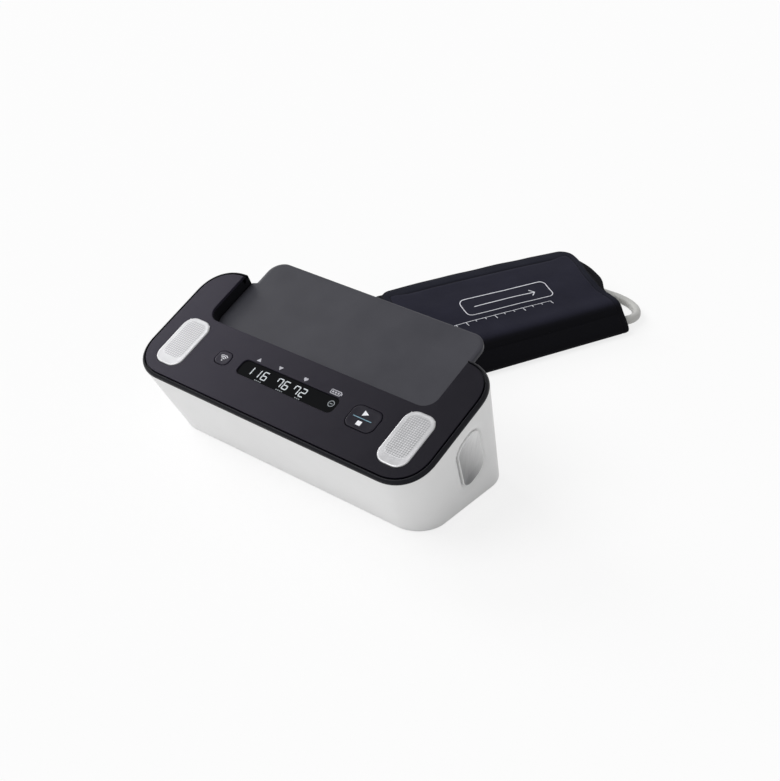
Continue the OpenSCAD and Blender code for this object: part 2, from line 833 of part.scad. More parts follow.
// The dark rounded band, the plate under the face panel and the dock's walls and shelf
module upper_case() {
    color("darkslategray") on_deck() difference() {
        union() {
            loft([for (k = band_profile) [for (p = deck_outline(k[0])) [p[0], p[1], k[1]]]]);
            slab(deck_outline(plate_inset), plate_n, pocket_n);
            difference() {
                slab(deck_outline(lip_inset), lip_n, plate_n + weld);
                slab(deck_outline(lip_inset + lip_t), lip_n - through, plate_n + through);
            }
            slab(dock_outline(dock_wall, deck_len), shelf_low_n, plate_n + weld);
            slab(
                tongue_outline(
                    dock_w / 2, tray_rear_w / 2 - shelf_inset, deck_len - 4,
                    shelf_rear_u, tray_corner_r - shelf_inset
                ),
                shelf_low_n, shelf_n
            );
            for (p = post_at)
                translate([p[0], p[1], board_top_n]) cylinder(h = plate_n - board_top_n + weld, r = post_r);
        }
        slab(deck_outline(band_rim), pocket_n, band_h + through);
        slab(dock_outline(0, deck_len + dock_cut_len), shelf_n, band_h + through);
        translate([window_at[0], window_at[1], 0])
            pad(window_w - 2 * window_ledge, window_d - window_ledge, window_r - window_ledge / 2,
                plate_n - through, pocket_n + through);
        button_holes(plate_n - through, pocket_n + through);
        for (s = [-1, 1])
            translate([s * top_pad_x, contact_u, plate_n - through])
                cylinder(h = pocket_n - plate_n + 2 * through, r = contact_hole_r);
        for (p = post_at)
            translate([p[0], p[1], board_top_n - through])
                cylinder(h = board_screw_len + through, r = board_screw_r + thread_gap);
    }
    color("darkslategray") for (c = columns)
        translate([c[0], c[1], column_top(c) + seat_gap])
            difference() {
                cylinder(h = boss_len, r = boss_r);
                translate([0, 0, -through])
                    cylinder(h = screw_len + through - seat_drop, r = screw_r + thread_gap);
            }
}

module button_holes(n0, n1) {
    for (b = [[start_at, start_w, start_d, start_r], [pair_at, pair_w, pair_d, pair_r]])
        translate([b[0][0], b[0][1], 0])
            pad(b[1] + 2 * button_gap, b[2] + 2 * button_gap, b[3] + button_gap, n0, n1);
}

module face_panel() {
    under = panel_n - through;
    over = panel_top_n + through;
    color("dimgray") on_deck() difference() {
        union() {
            slab(deck_outline(panel_inset), panel_n, panel_top_n - panel_bevel);
            slab(deck_outline(panel_inset + panel_bevel), panel_n, panel_top_n);
        }
        slab(dock_outline(panel_bevel, deck_len + dock_cut_len), under, over);
        translate([window_at[0], window_at[1], 0]) pad(window_w, window_d, window_r, under, over);
        button_holes(under, over);
        for (s = [-1, 1])
            translate([s * top_pad_x, top_pad_u, 0])
                pad(top_pad_w + 2 * seat_gap, top_pad_d + 2 * seat_gap, top_pad_r + seat_gap, under, over);
    }
}

// The grey tray that a handset stands on
module dock_tray() {
    joint_u = dock_front_u + dock_corner_r + 1;
    color("gray") on_deck() {
        slab(
            tongue_outline(dock_w / 2 - tray_gap, tray_rear_w / 2, joint_u, tray_rear_u, tray_corner_r),
            tray_low_n, tray_n
        );
        slab(dock_outline(-tray_gap, joint_u + seat_gap), tray_low_n, tray_n);
    }
}

module display_lens() {
    color("black") on_deck()
        translate([window_at[0], window_at[1], 0])
            pad(window_w - 2 * seat_gap, window_d - 2 * seat_gap, window_r - seat_gap,
                pocket_n, pocket_n + lens_t);
}

// The display's carrier hangs on the board by two legs
module display_module() {
    module_n = plate_n - seat_gap - module_t;
    leg_w = 2;
    color("darkgreen") on_deck()
        translate([window_at[0], window_at[1], 0]) {
            translate([-module_w / 2, -module_d / 2, module_n]) cube([module_w, module_d, module_t]);
            for (s = [-1, 1])
                translate([s * (module_w / 2 - 1.5 * leg_w) - leg_w / 2, leg_w - module_d / 2, board_top_n])
                    cube([leg_w, module_d - 2 * leg_w, module_n - board_top_n + weld]);
        }
}

// ---------- Buttons ----------

module button(w, d, r) {
    pad(w, d, r, flange_n, cap_top_n - cap_edge);
    pad(w - 2 * cap_edge, d - 2 * cap_edge, r - cap_edge, cap_top_n - cap_edge - seat_gap, cap_top_n);
    pad(w + 2 * flange_w, d + 2 * flange_w, r + flange_w, flange_n, flange_top_n);
    translate([0, 0, stem_n]) cylinder(h = flange_n - stem_n + weld, r = stem_r);
}

module start_stop_button() {
    color("dimgray") on_deck() translate([start_at[0], start_at[1], 0]) button(start_w, start_d, start_r);
}

module pairing_button() {
    color("dimgray") on_deck() translate([pair_at[0], pair_at[1], 0]) button(pair_w, pair_d, pair_r);
}

module tact_switch() {
    body = 6.2;
    plunger_r = 1.7;
    plunger_proud = 0.4;
    translate([-body / 2, -body / 2, board_top_n])
        cube([body, body, plunger_n - plunger_proud - board_top_n]);
    translate([0, 0, board_top_n]) cylinder(h = plunger_n - board_top_n, r = plunger_r);
}

module start_stop_switch() {
    color("black") on_deck() translate([start_at[0], start_at[1], 0]) tact_switch();
}

module pairing_switch() {
    color("black") on_deck() translate([pair_at[0], pair_at[1], 0]) tact_switch();
}

// ---------- Electrodes ----------

module electrode_top(s) {
    edge = 0.4;
    color("silver") on_deck()
        translate([s * top_pad_x, top_pad_u, 0]) {
            pad(top_pad_w, top_pad_d, top_pad_r, pocket_n, panel_top_n + top_pad_proud / 2);
            pad(top_pad_w - 2 * edge, top_pad_d - 2 * edge, top_pad_r - edge,
                panel_top_n, panel_top_n + top_pad_proud);
        }
}

module electrode_top_left() {
    electrode_top(-1);
}

module electrode_top_right() {
    electrode_top(1);
}

// A plate with a shallow trough down its face
module electrode_side(s) {
    face_n = side_seat_n + pad_t;
    color("silver") at_side_pad(s)
        difference() {
            pad(side_pad_w, side_pad_h, side_pad_r, side_seat_n, face_n);
            translate([0, side_pad_h / 2 - trough_end, trough_r + face_n - trough_depth])
                rotate([90, 0, 0])
                    cylinder(h = side_pad_h - 2 * trough_end, r = trough_r, $fn = 180);
        }
}

module electrode_side_left() {
    electrode_side(-1);
}

module electrode_side_right() {
    electrode_side(1);
}

// Pins and leaves that touch the backs of the electrodes
module electrode_contacts() {
    lap = 4;
    leaf_n = board_top_n + seat_gap;
    side_leaf_n = -side_pocket - side_backing - 1;
    color("goldenrod") for (s = [-1, 1]) {
        on_deck() {
            translate([s * top_pad_x, contact_u, leaf_n]) cylinder(h = pocket_n - leaf_n, r = pin_r);
            mirror([s < 0 ? 1 : 0, 0, 0])
                translate([board_w / 2 - lap, contact_u - leaf_w / 2, leaf_n])
                    cube([top_pad_x + 1 + lap - board_w / 2, leaf_w, leaf_t]);
        }
        at_side_pad(s) {
            translate([0, 0, side_leaf_n]) cylinder(h = side_seat_n - side_leaf_n, r = pin_r);
            translate([-leaf_w, -leaf_len / 2, side_leaf_n]) cube([2 * leaf_w, leaf_len, 2 * leaf_t]);
        }
    }
}

// ---------- Inside ----------

module main_board() {
    color("green") on_deck() difference() {
        translate([-board_w / 2, board_u0, board_n]) cube([board_w, board_u1 - board_u0, board_t]);
        for (p = post_at)
            translate([p[0], p[1], board_n - through])
                cylinder(h = board_t + 2 * through, r = board_screw_r + 0.3);
    }
}

module board_screws() {
    color("silver") on_deck() for (p = post_at) translate([p[0], p[1], board_n]) {
        translate([0, 0, -board_screw_head_t]) cylinder(h = board_screw_head_t, r = board_screw_head_r);
        translate([0, 0, -board_screw_head_t])
            cylinder(h = board_screw_head_t + board_screw_len, r = board_screw_r);
    }
}

module pressure_sensor() {
    color("black") on_deck() translate([sensor_at[0], sensor_at[1], board_n]) {
        translate([-sensor_w / 2, -sensor_w / 2, -sensor_h]) cube([sensor_w, sensor_w, sensor_h]);
        translate([0, 0, -sensor_h - sensor_port]) cylinder(h = sensor_port + weld, r = sensor_port_r);
    }
}

module pump_motor() {
    color("silver") translate([motor_x0, pump_y, pump_z]) rotate([0, 90, 0]) {
        cylinder(h = motor_x1 - motor_x0, r = motor_d / 2);
        cylinder(h = motor_x1 - motor_x0 + 1.6, r = motor_d / 6);
    }
}

module pump_head() {
    color("black") {
        translate([head_x0, pump_y, pump_z])
            rotate([0, 90, 0])
                cylinder(h = motor_x0 - head_x0, r = head_d / 2);
        // Outlet towards the manifold
        translate([outlet_x, pump_y + head_d / 2 - 1, manifold_z])
            rotate([-90, 0, 0])
                cylinder(h = outlet_len + 1, r = tube_r - 0.8);
    }
}

module air_manifold() {
    color("gray") difference() {
        union() {
            translate([manifold_x0, manifold_y, manifold_z])
                rotate([0, 90, 0])
                    cylinder(h = manifold_x1 - manifold_x0, r = manifold_d / 2);
            translate([valve_x, manifold_y, manifold_z]) cylinder(h = manifold_d / 2 + 1, r = valve_d / 2);
        }
        translate([manifold_x0 + manifold_wall, manifold_y, manifold_z])
            rotate([0, 90, 0])
                cylinder(h = manifold_x1 - manifold_x0, r = manifold_d / 2 - manifold_wall);
    }
}

module bleed_valve() {
    color("silver") translate([valve_x, manifold_y, manifold_z + manifold_d / 2 + 1]) {
        cylinder(h = valve_h, r = valve_d / 2);
        translate([-valve_d / 2, -1, 0]) cube([valve_d, 2, valve_h + 0.8]);
    }
}

// Short soft tubes between the pump, the manifold, the sensor and the jack
module inner_air_tubes() {
    inlet = at_rear_point(air_jack_x, jack_z, jack_back - seat_gap);
    head_out = pump_y + head_d / 2 + outlet_len + fit_gap;
    sensor_tip = on_deck_point(sensor_at[0], sensor_at[1], board_n - sensor_h - sensor_port - seat_gap);
    down = [0, sin(deck_slope), -cos(deck_slope)];
    color("lightgray") {
        translate([outlet_x, head_out, manifold_z])
            rotate([-90, 0, 0])
                cylinder(h = manifold_y - manifold_d / 2 - seat_gap - head_out, r = tube_r);
        tube([
            [manifold_x1 + seat_gap, manifold_y, manifold_z],
            [manifold_x1 + 3, manifold_y, manifold_z],
            [manifold_x1 + 6, manifold_y + 1.5, manifold_z - 3],
            [air_jack_x + 2, inlet[1] - 7, inlet[2] - 0.5],
            at_rear_point(air_jack_x, jack_z, jack_back - 3),
            inlet
        ], tube_r, 8);
        tube([
            sensor_tip,
            sensor_tip + 4 * down,
            sensor_tip + 8 * down + [-3, 1.5, 0],
            [manifold_x1 - 3, manifold_y - 3, manifold_z + 14],
            [manifold_x1 - 2.5, manifold_y, manifold_z + manifold_d / 2 + 0.4]
        ], tube_r - 0.4, 8);
    }
}

function at_rear_point(x, z, out) = [
    x,
    rear_wall_y(z) + out * cos(rear_lean),
    z + out * sin(rear_lean)
];

module air_jack() {
    rim_t = 1.2;
    color("silver") at_rear_wall(air_jack_x, jack_z) difference() {
        union() {
            translate([0, 0, jack_back]) cylinder(h = weld - jack_back, r = jack_body_r);
            translate([0, 0, seat_gap]) cylinder(h = rim_t, r = jack_rim_r);
        }
        translate([0, 0, -jack_bore_len]) cylinder(h = jack_bore_len + rim_t + through, r = jack_bore_r);
    }
}

module dc_jack() {
    body_len = 11;
    rim_t = 0.8;
    centre_pin_r = 1;
    color("black") at_rear_wall(dc_jack_x, jack_z) {
        difference() {
            union() {
                translate([0, 0, -body_len]) cylinder(h = body_len + weld, r = jack_body_r);
                translate([0, 0, seat_gap]) cylinder(h = rim_t, r = jack_rim_r);
            }
            translate([0, 0, -jack_bore_len]) cylinder(h = jack_bore_len + rim_t + through, r = dc_bore_r);
        }
        translate([0, 0, -jack_bore_len - weld]) cylinder(h = jack_bore_len - weld, r = centre_pin_r);
    }
}

// ---------- Battery bay ----------

module battery_cells() {
    nub = 1.4;
    nub_r = 2.6;
    color("seagreen") for (i = [0:3])
        translate([(i - 1.5) * cell_pitch, bay_y0 + contact_t + spring_len + fit_gap + cell_len / 2, cell_z])
            rotate([i % 2 == 0 ? -90 : 90, 0, 0])
                translate([0, 0, -cell_len / 2]) {
                    cylinder(h = cell_len - nub, r = cell_d / 2);
                    cylinder(h = cell_len, r = nub_r);
                }
}

module battery_contacts() {
    plate_w = cell_pitch - 2;
    plate_h = cell_d - 2;
    spring_r = 2.8;
    far_y = bay_y0 + bay_len - contact_t - seat_gap;
    color("silver") for (i = [0:3]) translate([(i - 1.5) * cell_pitch, 0, cell_z]) {
        translate([-plate_w / 2, bay_y0 + seat_gap, -plate_h / 2]) cube([plate_w, contact_t, plate_h]);
        translate([0, bay_y0 + contact_t, 0])
            rotate([-90, 0, 0])
                cylinder(h = spring_len, r = spring_r);
        translate([-plate_w / 2, far_y, -plate_h / 2]) cube([plate_w, contact_t, plate_h]);
    }
}

module battery_cover() {
    cover_len = cover_y1 - cover_y0;
    scoop_r = 6;
    scoop_depth = 0.45;
    color("white") difference() {
        union() {
            translate([-cover_w / 2, cover_y0, cover_z]) cube([cover_w, cover_len, cover_t - 0.2]);
            for (y = cover_tabs_y)
                translate([-cover_w / 2 - cover_tab_w, y - cover_tab_len / 2, lip_z + 0.05])
                    cube([cover_w + 2 * cover_tab_w, cover_tab_len, cover_tab_t]);
        }
        // Finger scoop
        translate([0, cover_y0 + 8, cover_z - through])
            cylinder(h = through + scoop_depth, r = scoop_r);
        // The tabs leave the cells their room
        translate([1 - bay_w / 2, cover_y0 + 3, cover_z + cover_t - 0.2])
            cube([bay_w - 2, cover_len - 6, cover_tab_t + through]);
    }
}

// ---------- Feet and screws ----------

module rubber_feet() {
    color("dimgray") for (f = feet_at)
        translate([f[0], f[1], 0]) {
            translate([0, 0, foot_face_t]) cylinder(h = foot_t - foot_face_t, r = foot_r);
            cylinder(h = foot_face_t + seat_gap, r = foot_face_r);
        }
}

module case_screws() {
    color("silver") for (c = columns)
        translate([c[0], c[1], screw_seat(c) - screw_head_t]) difference() {
            union() {
                cylinder(h = screw_head_t, r = screw_head_r);
                cylinder(h = screw_head_t + screw_len, r = screw_r);
            }
            translate([0, 0, -through]) cylinder(h = screw_socket + through, r = 1.2, $fn = 6);
        }
}

lower_case();
upper_case();
face_panel();
dock_tray();
display_lens();
display_module();
start_stop_button();
pairing_button();
start_stop_switch();
pairing_switch();
electrode_top_left();
electrode_top_right();
electrode_side_left();
electrode_side_right();
electrode_contacts();
main_board();
board_screws();
pressure_sensor();
pump_motor();
pump_head();
bleed_valve();
air_manifold();
inner_air_tubes();
air_jack();
dc_jack();
battery_cells();
battery_contacts();
battery_cover();
rubber_feet();
case_screws();
air_plug();
hose_cuff_side();
hose_coil();
hose_plug_side();
hose_tie();
cuff_wrap();
cuff_bladder();
cuff_hose_socket();
hook_patch();
cuff_ring();
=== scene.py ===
"""An upper-arm blood pressure monitor with a dock, four electrodes and a rolled cuff.

Millimetres are used throughout and turned into metres where a point is placed.
The deck's frame is (x across, u up its slope, n out of it). The cuff's frame is
(a along the roll, w across it, z up).
"""
import bisect
import math

import bmesh
import bpy
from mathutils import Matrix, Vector, noise
from mathutils.geometry import tessellate_polygon


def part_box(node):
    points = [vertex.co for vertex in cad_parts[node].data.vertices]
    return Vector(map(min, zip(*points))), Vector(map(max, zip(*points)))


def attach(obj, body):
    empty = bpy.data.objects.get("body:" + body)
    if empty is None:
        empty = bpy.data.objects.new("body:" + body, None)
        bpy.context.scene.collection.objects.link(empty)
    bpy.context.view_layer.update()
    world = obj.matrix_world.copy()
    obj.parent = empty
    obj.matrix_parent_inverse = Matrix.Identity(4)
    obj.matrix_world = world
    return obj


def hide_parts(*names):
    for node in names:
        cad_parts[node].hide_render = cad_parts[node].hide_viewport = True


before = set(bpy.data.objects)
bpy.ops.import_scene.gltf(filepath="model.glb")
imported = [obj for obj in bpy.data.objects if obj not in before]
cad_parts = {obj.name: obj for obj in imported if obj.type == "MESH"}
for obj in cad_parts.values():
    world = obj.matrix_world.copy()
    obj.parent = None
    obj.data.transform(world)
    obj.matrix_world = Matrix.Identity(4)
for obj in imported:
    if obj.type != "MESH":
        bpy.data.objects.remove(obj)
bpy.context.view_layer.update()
MM = 0.001

# ---------- Camera and light ----------
CAMERA_AT = (0.45503, -0.48423, 0.44494)
CAMERA_TURN = (58.435, 1.292, 39.724)
CAMERA_LENS = 63.28
WHITE = (1, 1, 1, 1)
WORLD_LIGHT = 0.42
FLOOR_GLOW = 0.8

# ---------- Sizes of the housing ----------
DECK_W = 209.5
DECK_LEN = 85.0
DECK_SLOPE = math.radians(22.7)
DECK_FRONT_H = 45.2
DECK_REACH = 60.5
DECK_CORNER_R = 23.0
DECK_POWER = 2.25
BASE_W = 191.4
BASE_D = 79.0
BASE_CORNER_R = 18.0
CASE_LIFT = 0.8
CASE_FOOT_R = 1.6
BASE_Z = CASE_LIFT + CASE_FOOT_R
CASE_STEPS = 66
WALL = 2.4
BAND_RIM = 1.7
BAND_H = 2.6
POCKET_N = 0.9
PLATE_N = -1.8
PANEL_INSET = 2.5
PANEL_N = 1.0
PANEL_TOP_N = 2.8
EDGE_R = 0.35

# ---------- Sizes of the dock ----------
DOCK_HALF_W = 82.3
DOCK_FRONT_U = 48.2
DOCK_CORNER_R = 8.0
DOCK_WALL = 2.0
TRAY_N = -5.2
TRAY_LOW_N = -8.4
SHELF_N = -8.5
SHELF_LOW_N = -10.6
TRAY_PAST_BASE = 1.5
TRAY_REAR_Y = BASE_D / 2 + TRAY_PAST_BASE
TRAY_REAR_U = (TRAY_REAR_Y + DECK_REACH + TRAY_LOW_N * math.sin(DECK_SLOPE)) / math.cos(DECK_SLOPE)
SHELF_REAR_U = TRAY_REAR_U - 2.5
TRAY_REAR_HALF_W = 79.0
TRAY_CORNER_R = 10.0

# ---------- Places on the deck, (x, u) ----------
WINDOW_AT = (-1.7, 27.7)
WINDOW_SIZE = (71.4, 10.7, 3.4)
START_AT = (53.4, 27.7)
START_SIZE = (19.2, 14.6, 4.5)
PAIR_AT = (-50.4, 27.6)
PAIR_SIZE = (10.1, 9.0, 3.5)
TOP_PAD_AT = (82.7, 26.9)
TOP_PAD_SIZE = (19.9, 35.2, 7.3)
TOP_PAD_N = 3.28
WAFFLE_H = 0.05
TRAY_REAR_ROUND = 3.0
BUTTON_GAP = 0.25
CAP_TOP_N = 3.0
LENS_TOP_N = 2.0
INK = 0.03

# ---------- Side electrodes ----------
SIDE_PAD_SIZE = (19.5, 38.5, 7.8)
SIDE_PAD_U = 48.0
SIDE_PAD_N = -30.0
SIDE_POCKET = 1.6
SIDE_FLARE = 5.0
SIDE_PAD_T = 1.4
SCOOP_DEPTH = 1.25

# ---------- Jacks, feet and screws ----------
JACK_Z = 14.0
JACK_X = 44.0
JACK_HOLE_R = 4.9
FEET_AT = [(x, y) for x in (-80, 80) for y in (-26.5, 27.5)]
FOOT_HOLE_R = 5.6
SCREWS_AT = [(-71, -30.5), (71, -30.5), (-88, 7.5), (88, 7.5)]
SCREW_HOLE_R = 3.1

# ---------- Cuff and hose ----------
CUFF_CORNER = (64.0, 216.5)
CUFF_TURN = math.radians(65)
CUFF_LEN = 145.0
ROLL_FRONT = (8.9, 11.6)
ROLL_FLAT = 66.0
ROLL_RISE = 6.5
ROLL_FIRST = 1.6
ROLL_TURNS = 3
ROLL_STUB = 8.4
WRAP_T = 2.6
WRAP_PITCH = 2.9
FLAP_LEN = 70.0
FLAP_CORNER_R = 9.0
FLAP_SLIP = 3.5
UNDER_SLIP = 4.6
SEAM_BELOW_FLAP = 12.0
# Painted shade on the cuff's roll starts this far below the flap
PAINTED_SHADE_BELOW_FLAP = 5.0
HEM = 9.0
TAPE = 1.6
HOSE_R = 3.0
HOSE_ROUTE = [
    (-12, 8, 6.2), (-5, 8, 6.2), (1, 8, 6.2), (9.5, 10, 5.2), (17, 17, 4),
    (21, 28, 3.2), (19.5, 40, 3.1), (15.5, 50, 3.1), (11.5, 59, 3.1), (9.5, 68, 3.1),
    (9, 76, 3.1), (3.5, 87.5, 3.1), (-6, 94.5, 3.1),
    *[(a, 97, 3.1) for a in (-17, -32, -47, -63, -79, -95, -111, -127)],
    (-143, 97, 3.4), (-160, 97, 3.9), (-175, 97, 3.9),
]
COIL_R = 30.0
COIL_AT = (-181.0, 97.0 - COIL_R)
COIL_LOW_Z = 3.9
COIL_RISE = 6.55
COIL_START = 155.0
COIL_SWEEP = 835.0
COIL_RINGS = 56
COIL_CLIMBS = (385.0, 745.0)
CLIMB_SWEEP = 120.0
END_RUN = 6.0
ELBOW_RUN = 4.5
BARB_LEN = 9.0


def smooth(t):
    t = min(max(t, 0.0), 1.0)
    return t * t * (3 - 2 * t)


def deck(x, u, n):
    y = u * math.cos(DECK_SLOPE) - n * math.sin(DECK_SLOPE) - DECK_REACH
    z = u * math.sin(DECK_SLOPE) + n * math.cos(DECK_SLOPE) + DECK_FRONT_H
    return Vector((x, y, z)) * MM


def deck_place(point):
    """The deck's (x, u, n) of a point in metres."""
    x, y, z = point / MM
    y += DECK_REACH
    z -= DECK_FRONT_H
    u = y * math.cos(DECK_SLOPE) + z * math.sin(DECK_SLOPE)
    return x, u, z * math.cos(DECK_SLOPE) - y * math.sin(DECK_SLOPE)


DECK_MID = (DECK_LEN / 2 * math.cos(DECK_SLOPE) - DECK_REACH,
            DECK_FRONT_H + DECK_LEN / 2 * math.sin(DECK_SLOPE))
SIDE_RISE = math.hypot(DECK_MID[0], DECK_MID[1] - BASE_Z)
SIDE_LEAN = math.atan((DECK_W - BASE_W) / 2 / SIDE_RISE)
SIDE_PAD_X = BASE_W / 2 + (DECK_W - BASE_W) / 2 * (1 + SIDE_PAD_N / SIDE_RISE)
DECK_REAR_Y = DECK_LEN * math.cos(DECK_SLOPE) - DECK_REACH
DECK_REAR_Z = DECK_FRONT_H + DECK_LEN * math.sin(DECK_SLOPE)
REAR_LEAN = math.atan((BASE_D / 2 - DECK_REAR_Y) / (DECK_REAR_Z - BASE_Z))


def side_pad(side):
    """Placer for (x, y, z) of a side electrode's frame, with z out of the wall."""
    def place(x, y, z):
        out = SIDE_PAD_X + y * math.sin(SIDE_LEAN) + z * math.cos(SIDE_LEAN)
        n = SIDE_PAD_N + y * math.cos(SIDE_LEAN) - z * math.sin(SIDE_LEAN)
        return deck(side * out, SIDE_PAD_U + x, n)
    return place


def side_pad_place(point):
    x, u, n = deck_place(point)
    out = abs(x) - SIDE_PAD_X
    n -= SIDE_PAD_N
    y = out * math.sin(SIDE_LEAN) + n * math.cos(SIDE_LEAN)
    return u - SIDE_PAD_U, y


def cuff(a, w, z):
    x = CUFF_CORNER[0] + a * math.cos(CUFF_TURN) - w * math.sin(CUFF_TURN)
    y = CUFF_CORNER[1] + a * math.sin(CUFF_TURN) + w * math.cos(CUFF_TURN)
    return Vector((x, y, z)) * MM


# ---------- Camera, light and floor ----------

def link(thing):
    bpy.context.scene.collection.objects.link(thing)
    return thing


def add_camera():
    data = bpy.data.cameras.new("camera")
    data.lens = CAMERA_LENS
    data.sensor_width = 36
    camera = link(bpy.data.objects.new("camera", data))
    camera.location = CAMERA_AT
    camera.rotation_euler = [math.radians(v) for v in CAMERA_TURN]
    bpy.context.scene.camera = camera


def add_lamp(name, towards, strength, spread):
    """A far soft light that stands in a direction, spread over some degrees."""
    data = bpy.data.lights.new(name, "SUN")
    data.energy = strength
    data.angle = math.radians(spread)
    lamp = link(bpy.data.objects.new(name, data))
    lamp.location = towards
    lamp.rotation_euler = (-Vector(towards)).to_track_quat("-Z", "Y").to_euler()


def feed(tree, node, sockets):
    """Sets each named or numbered socket to a value, or links it to another node's output."""
    for name, value in sockets.items():
        socket = node.inputs[name.replace("_", " ") if isinstance(name, str) else name]
        if isinstance(value, bpy.types.NodeSocket):
            tree.links.new(value, socket)
        else:
            socket.default_value = value


def add_node(tree, kind, settings=None, **sockets):
    node = tree.nodes.new("ShaderNode" + kind)
    for name, value in (settings or {}).items():
        setattr(node, name, value)
    feed(tree, node, sockets)
    return node


def add_math(tree, operation, a, b):
    node = add_node(tree, "Math", {"operation": operation})
    feed(tree, node, {0: a, 1: b})
    return node.outputs[0]


def seen_rays(tree):
    """1 for rays that show the background: camera, mirror and glass rays."""
    rays = tree.nodes.new("ShaderNodeLightPath").outputs
    total = add_math(tree, "MAXIMUM", rays["Is Camera Ray"], rays["Is Glossy Ray"])
    return add_math(tree, "MAXIMUM", total, rays["Is Transmission Ray"])


def show_mixed(tree, share, unseen, seen, output):
    """Feeds the output with one shader, and with another in its place for some rays."""
    mix = add_node(tree, "MixShader", Fac=share)
    feed(tree, mix, {1: unseen.outputs[0], 2: seen.outputs[0]})
    feed(tree, tree.nodes[output], {"Surface": mix.outputs[0]})


def add_world():
    world = bpy.data.worlds.new("studio")
    world.use_nodes = True
    tree = world.node_tree
    light = tree.nodes["Background"]
    feed(tree, light, {"Color": WHITE, "Strength": WORLD_LIGHT})
    shown = add_node(tree, "Background", Color=WHITE, Strength=1.0)
    show_mixed(tree, seen_rays(tree), light, shown, "World Output")
    bpy.context.scene.world = world
    bpy.context.scene.view_settings.view_transform = "Standard"


def add_floor():
    half = 3.0
    mesh = bpy.data.meshes.new("floor")
    corners = [(-half, -half, 0), (half, -half, 0), (half, half, 0), (-half, half, 0)]
    mesh.from_pydata(corners, [], [(0, 1, 2, 3)])
    floor = link(bpy.data.objects.new("floor", mesh))
    material = bpy.data.materials.new("floor")
    material.use_nodes = True
    tree = material.node_tree
    matt = tree.nodes["Principled BSDF"]
    feed(tree, matt, {"Base Color": (0.9, 0.9, 0.9, 1), "Roughness": 0.9})
    glow = add_node(tree, "Emission", Strength=1.0)
    share = add_math(tree, "MULTIPLY", seen_rays(tree), FLOOR_GLOW)
    show_mixed(tree, share, matt, glow, "Material Output")
    mesh.materials.append(material)


# ---------- Materials ----------

def colour(r, g, b):
    """Linear colour of an sRGB one given in 0 to 255."""
    def linear(c):
        c /= 255
        return c / 12.92 if c <= 0.04045 else ((c + 0.055) / 1.055) ** 2.4
    return (linear(r), linear(g), linear(b), 1.0)


class Finish:
    """A Principled material with procedural variation laid over it."""

    def __init__(self, name, rgb, roughness, metallic=0.0, **sockets):
        self.material = bpy.data.materials.new(name)
        self.material.use_nodes = True
        self.tree = self.material.node_tree
        self.shader = self.tree.nodes["Principled BSDF"]
        self.rgb = rgb
        self.set(Base_Color=colour(*rgb), Roughness=roughness, Metallic=metallic, **sockets)
        self.coords = self.tree.nodes.new("ShaderNodeTexCoord")
        self.relief = None

    def set(self, **sockets):
        feed(self.tree, self.shader, sockets)
        return self

    def add(self, kind, settings=None, **sockets):
        return add_node(self.tree, kind, settings, **sockets)

    def noise(self, per_mm, detail=2.0, stretch=(1, 1, 1)):
        scale = [per_mm / MM * s for s in stretch]
        mapping = self.add("Mapping", Vector=self.coords.outputs["Object"], Scale=scale)
        texture = self.add("TexNoise", Vector=mapping.outputs[0], Scale=1.0, Detail=detail)
        return texture.outputs["Fac"]

    def ramp(self, source, stops):
        node = self.add("ValToRGB", Fac=source)
        elements = node.color_ramp.elements
        while len(elements) < len(stops):
            elements.new(0.5)
        for element, (position, value) in zip(elements, stops):
            element.position = position
            element.color = value
        return node.outputs["Color"]

    def mottle(self, per_mm, spread, detail=3.0, stretch=(1, 1, 1)):
        """Lets the base colour wander by some steps of 255."""
        low = colour(*[max(c - spread, 0) for c in self.rgb])
        high = colour(*[min(c + spread, 255) for c in self.rgb])
        source = self.noise(per_mm, detail, stretch)
        return self.set(Base_Color=self.ramp(source, [(0.3, low), (0.7, high)]))

    def polish(self, per_mm, low, high, stretch=(1, 1, 1)):
        """Lets the roughness wander between two values."""
        node = self.add("MapRange", Value=self.noise(per_mm, 3.0, stretch),
                        From_Min=0.35, From_Max=0.65, To_Min=low, To_Max=high)
        return self.set(Roughness=node.outputs[0])

    def fade(self, rgb, low_x, high_x):
        """Lets the base colour pass to another one from one place across to another, a painted sheen
        that is lighter at one side.
        """
        split = self.add("SeparateXYZ", Vector=self.coords.outputs["Object"])
        amount = self.add("MapRange", Value=split.outputs["X"],
                          From_Min=low_x * MM, From_Max=high_x * MM)
        return self.blend(amount.outputs[0], rgb)

    def blend(self, amount, rgb):
        """Turns the base colour towards another one as the amount goes from 0 to 1."""
        base = self.shader.inputs["Base Color"].links[0].from_socket
        mix = self.add("Mix", {"data_type": "RGBA"}, Factor=amount, A=base, B=colour(*rgb))
        return self.set(Base_Color=mix.outputs["Result"])

    def attribute(self, name):
        """A value that the mesh carries at its points."""
        return self.add("Attribute", {"attribute_name": name}).outputs["Fac"]

    def shade_by(self, attribute, rgb):
        return self.blend(self.attribute(attribute), rgb)

    def bump(self, source, height_mm, strength=1.0):
        node = self.add("Bump", Height=source, Distance=height_mm * MM, Strength=strength)
        if self.relief is not None:
            feed(self.tree, node, {"Normal": self.relief})
        self.relief = node.outputs[0]
        return self.set(Normal=self.relief)

    def grain(self, per_mm, height_mm, stretch=(1, 1, 1), detail=2.0):
        return self.bump(self.noise(per_mm, detail, stretch), height_mm)


def weave_height(finish, pitch_mm):
    """Over-and-under threads along the two directions of the cloth's map."""
    waves = []
    for direction in ("X", "Y"):
        settings = {"wave_type": "BANDS", "bands_direction": direction}
        wave = finish.add("TexWave", settings, Vector=finish.coords.outputs["UV"],
                          Scale=1 / (pitch_mm * MM) / 3.2, Distortion=0.3)
        waves.append(wave.outputs["Fac"])
    return add_math(finish.tree, "MULTIPLY", *waves)


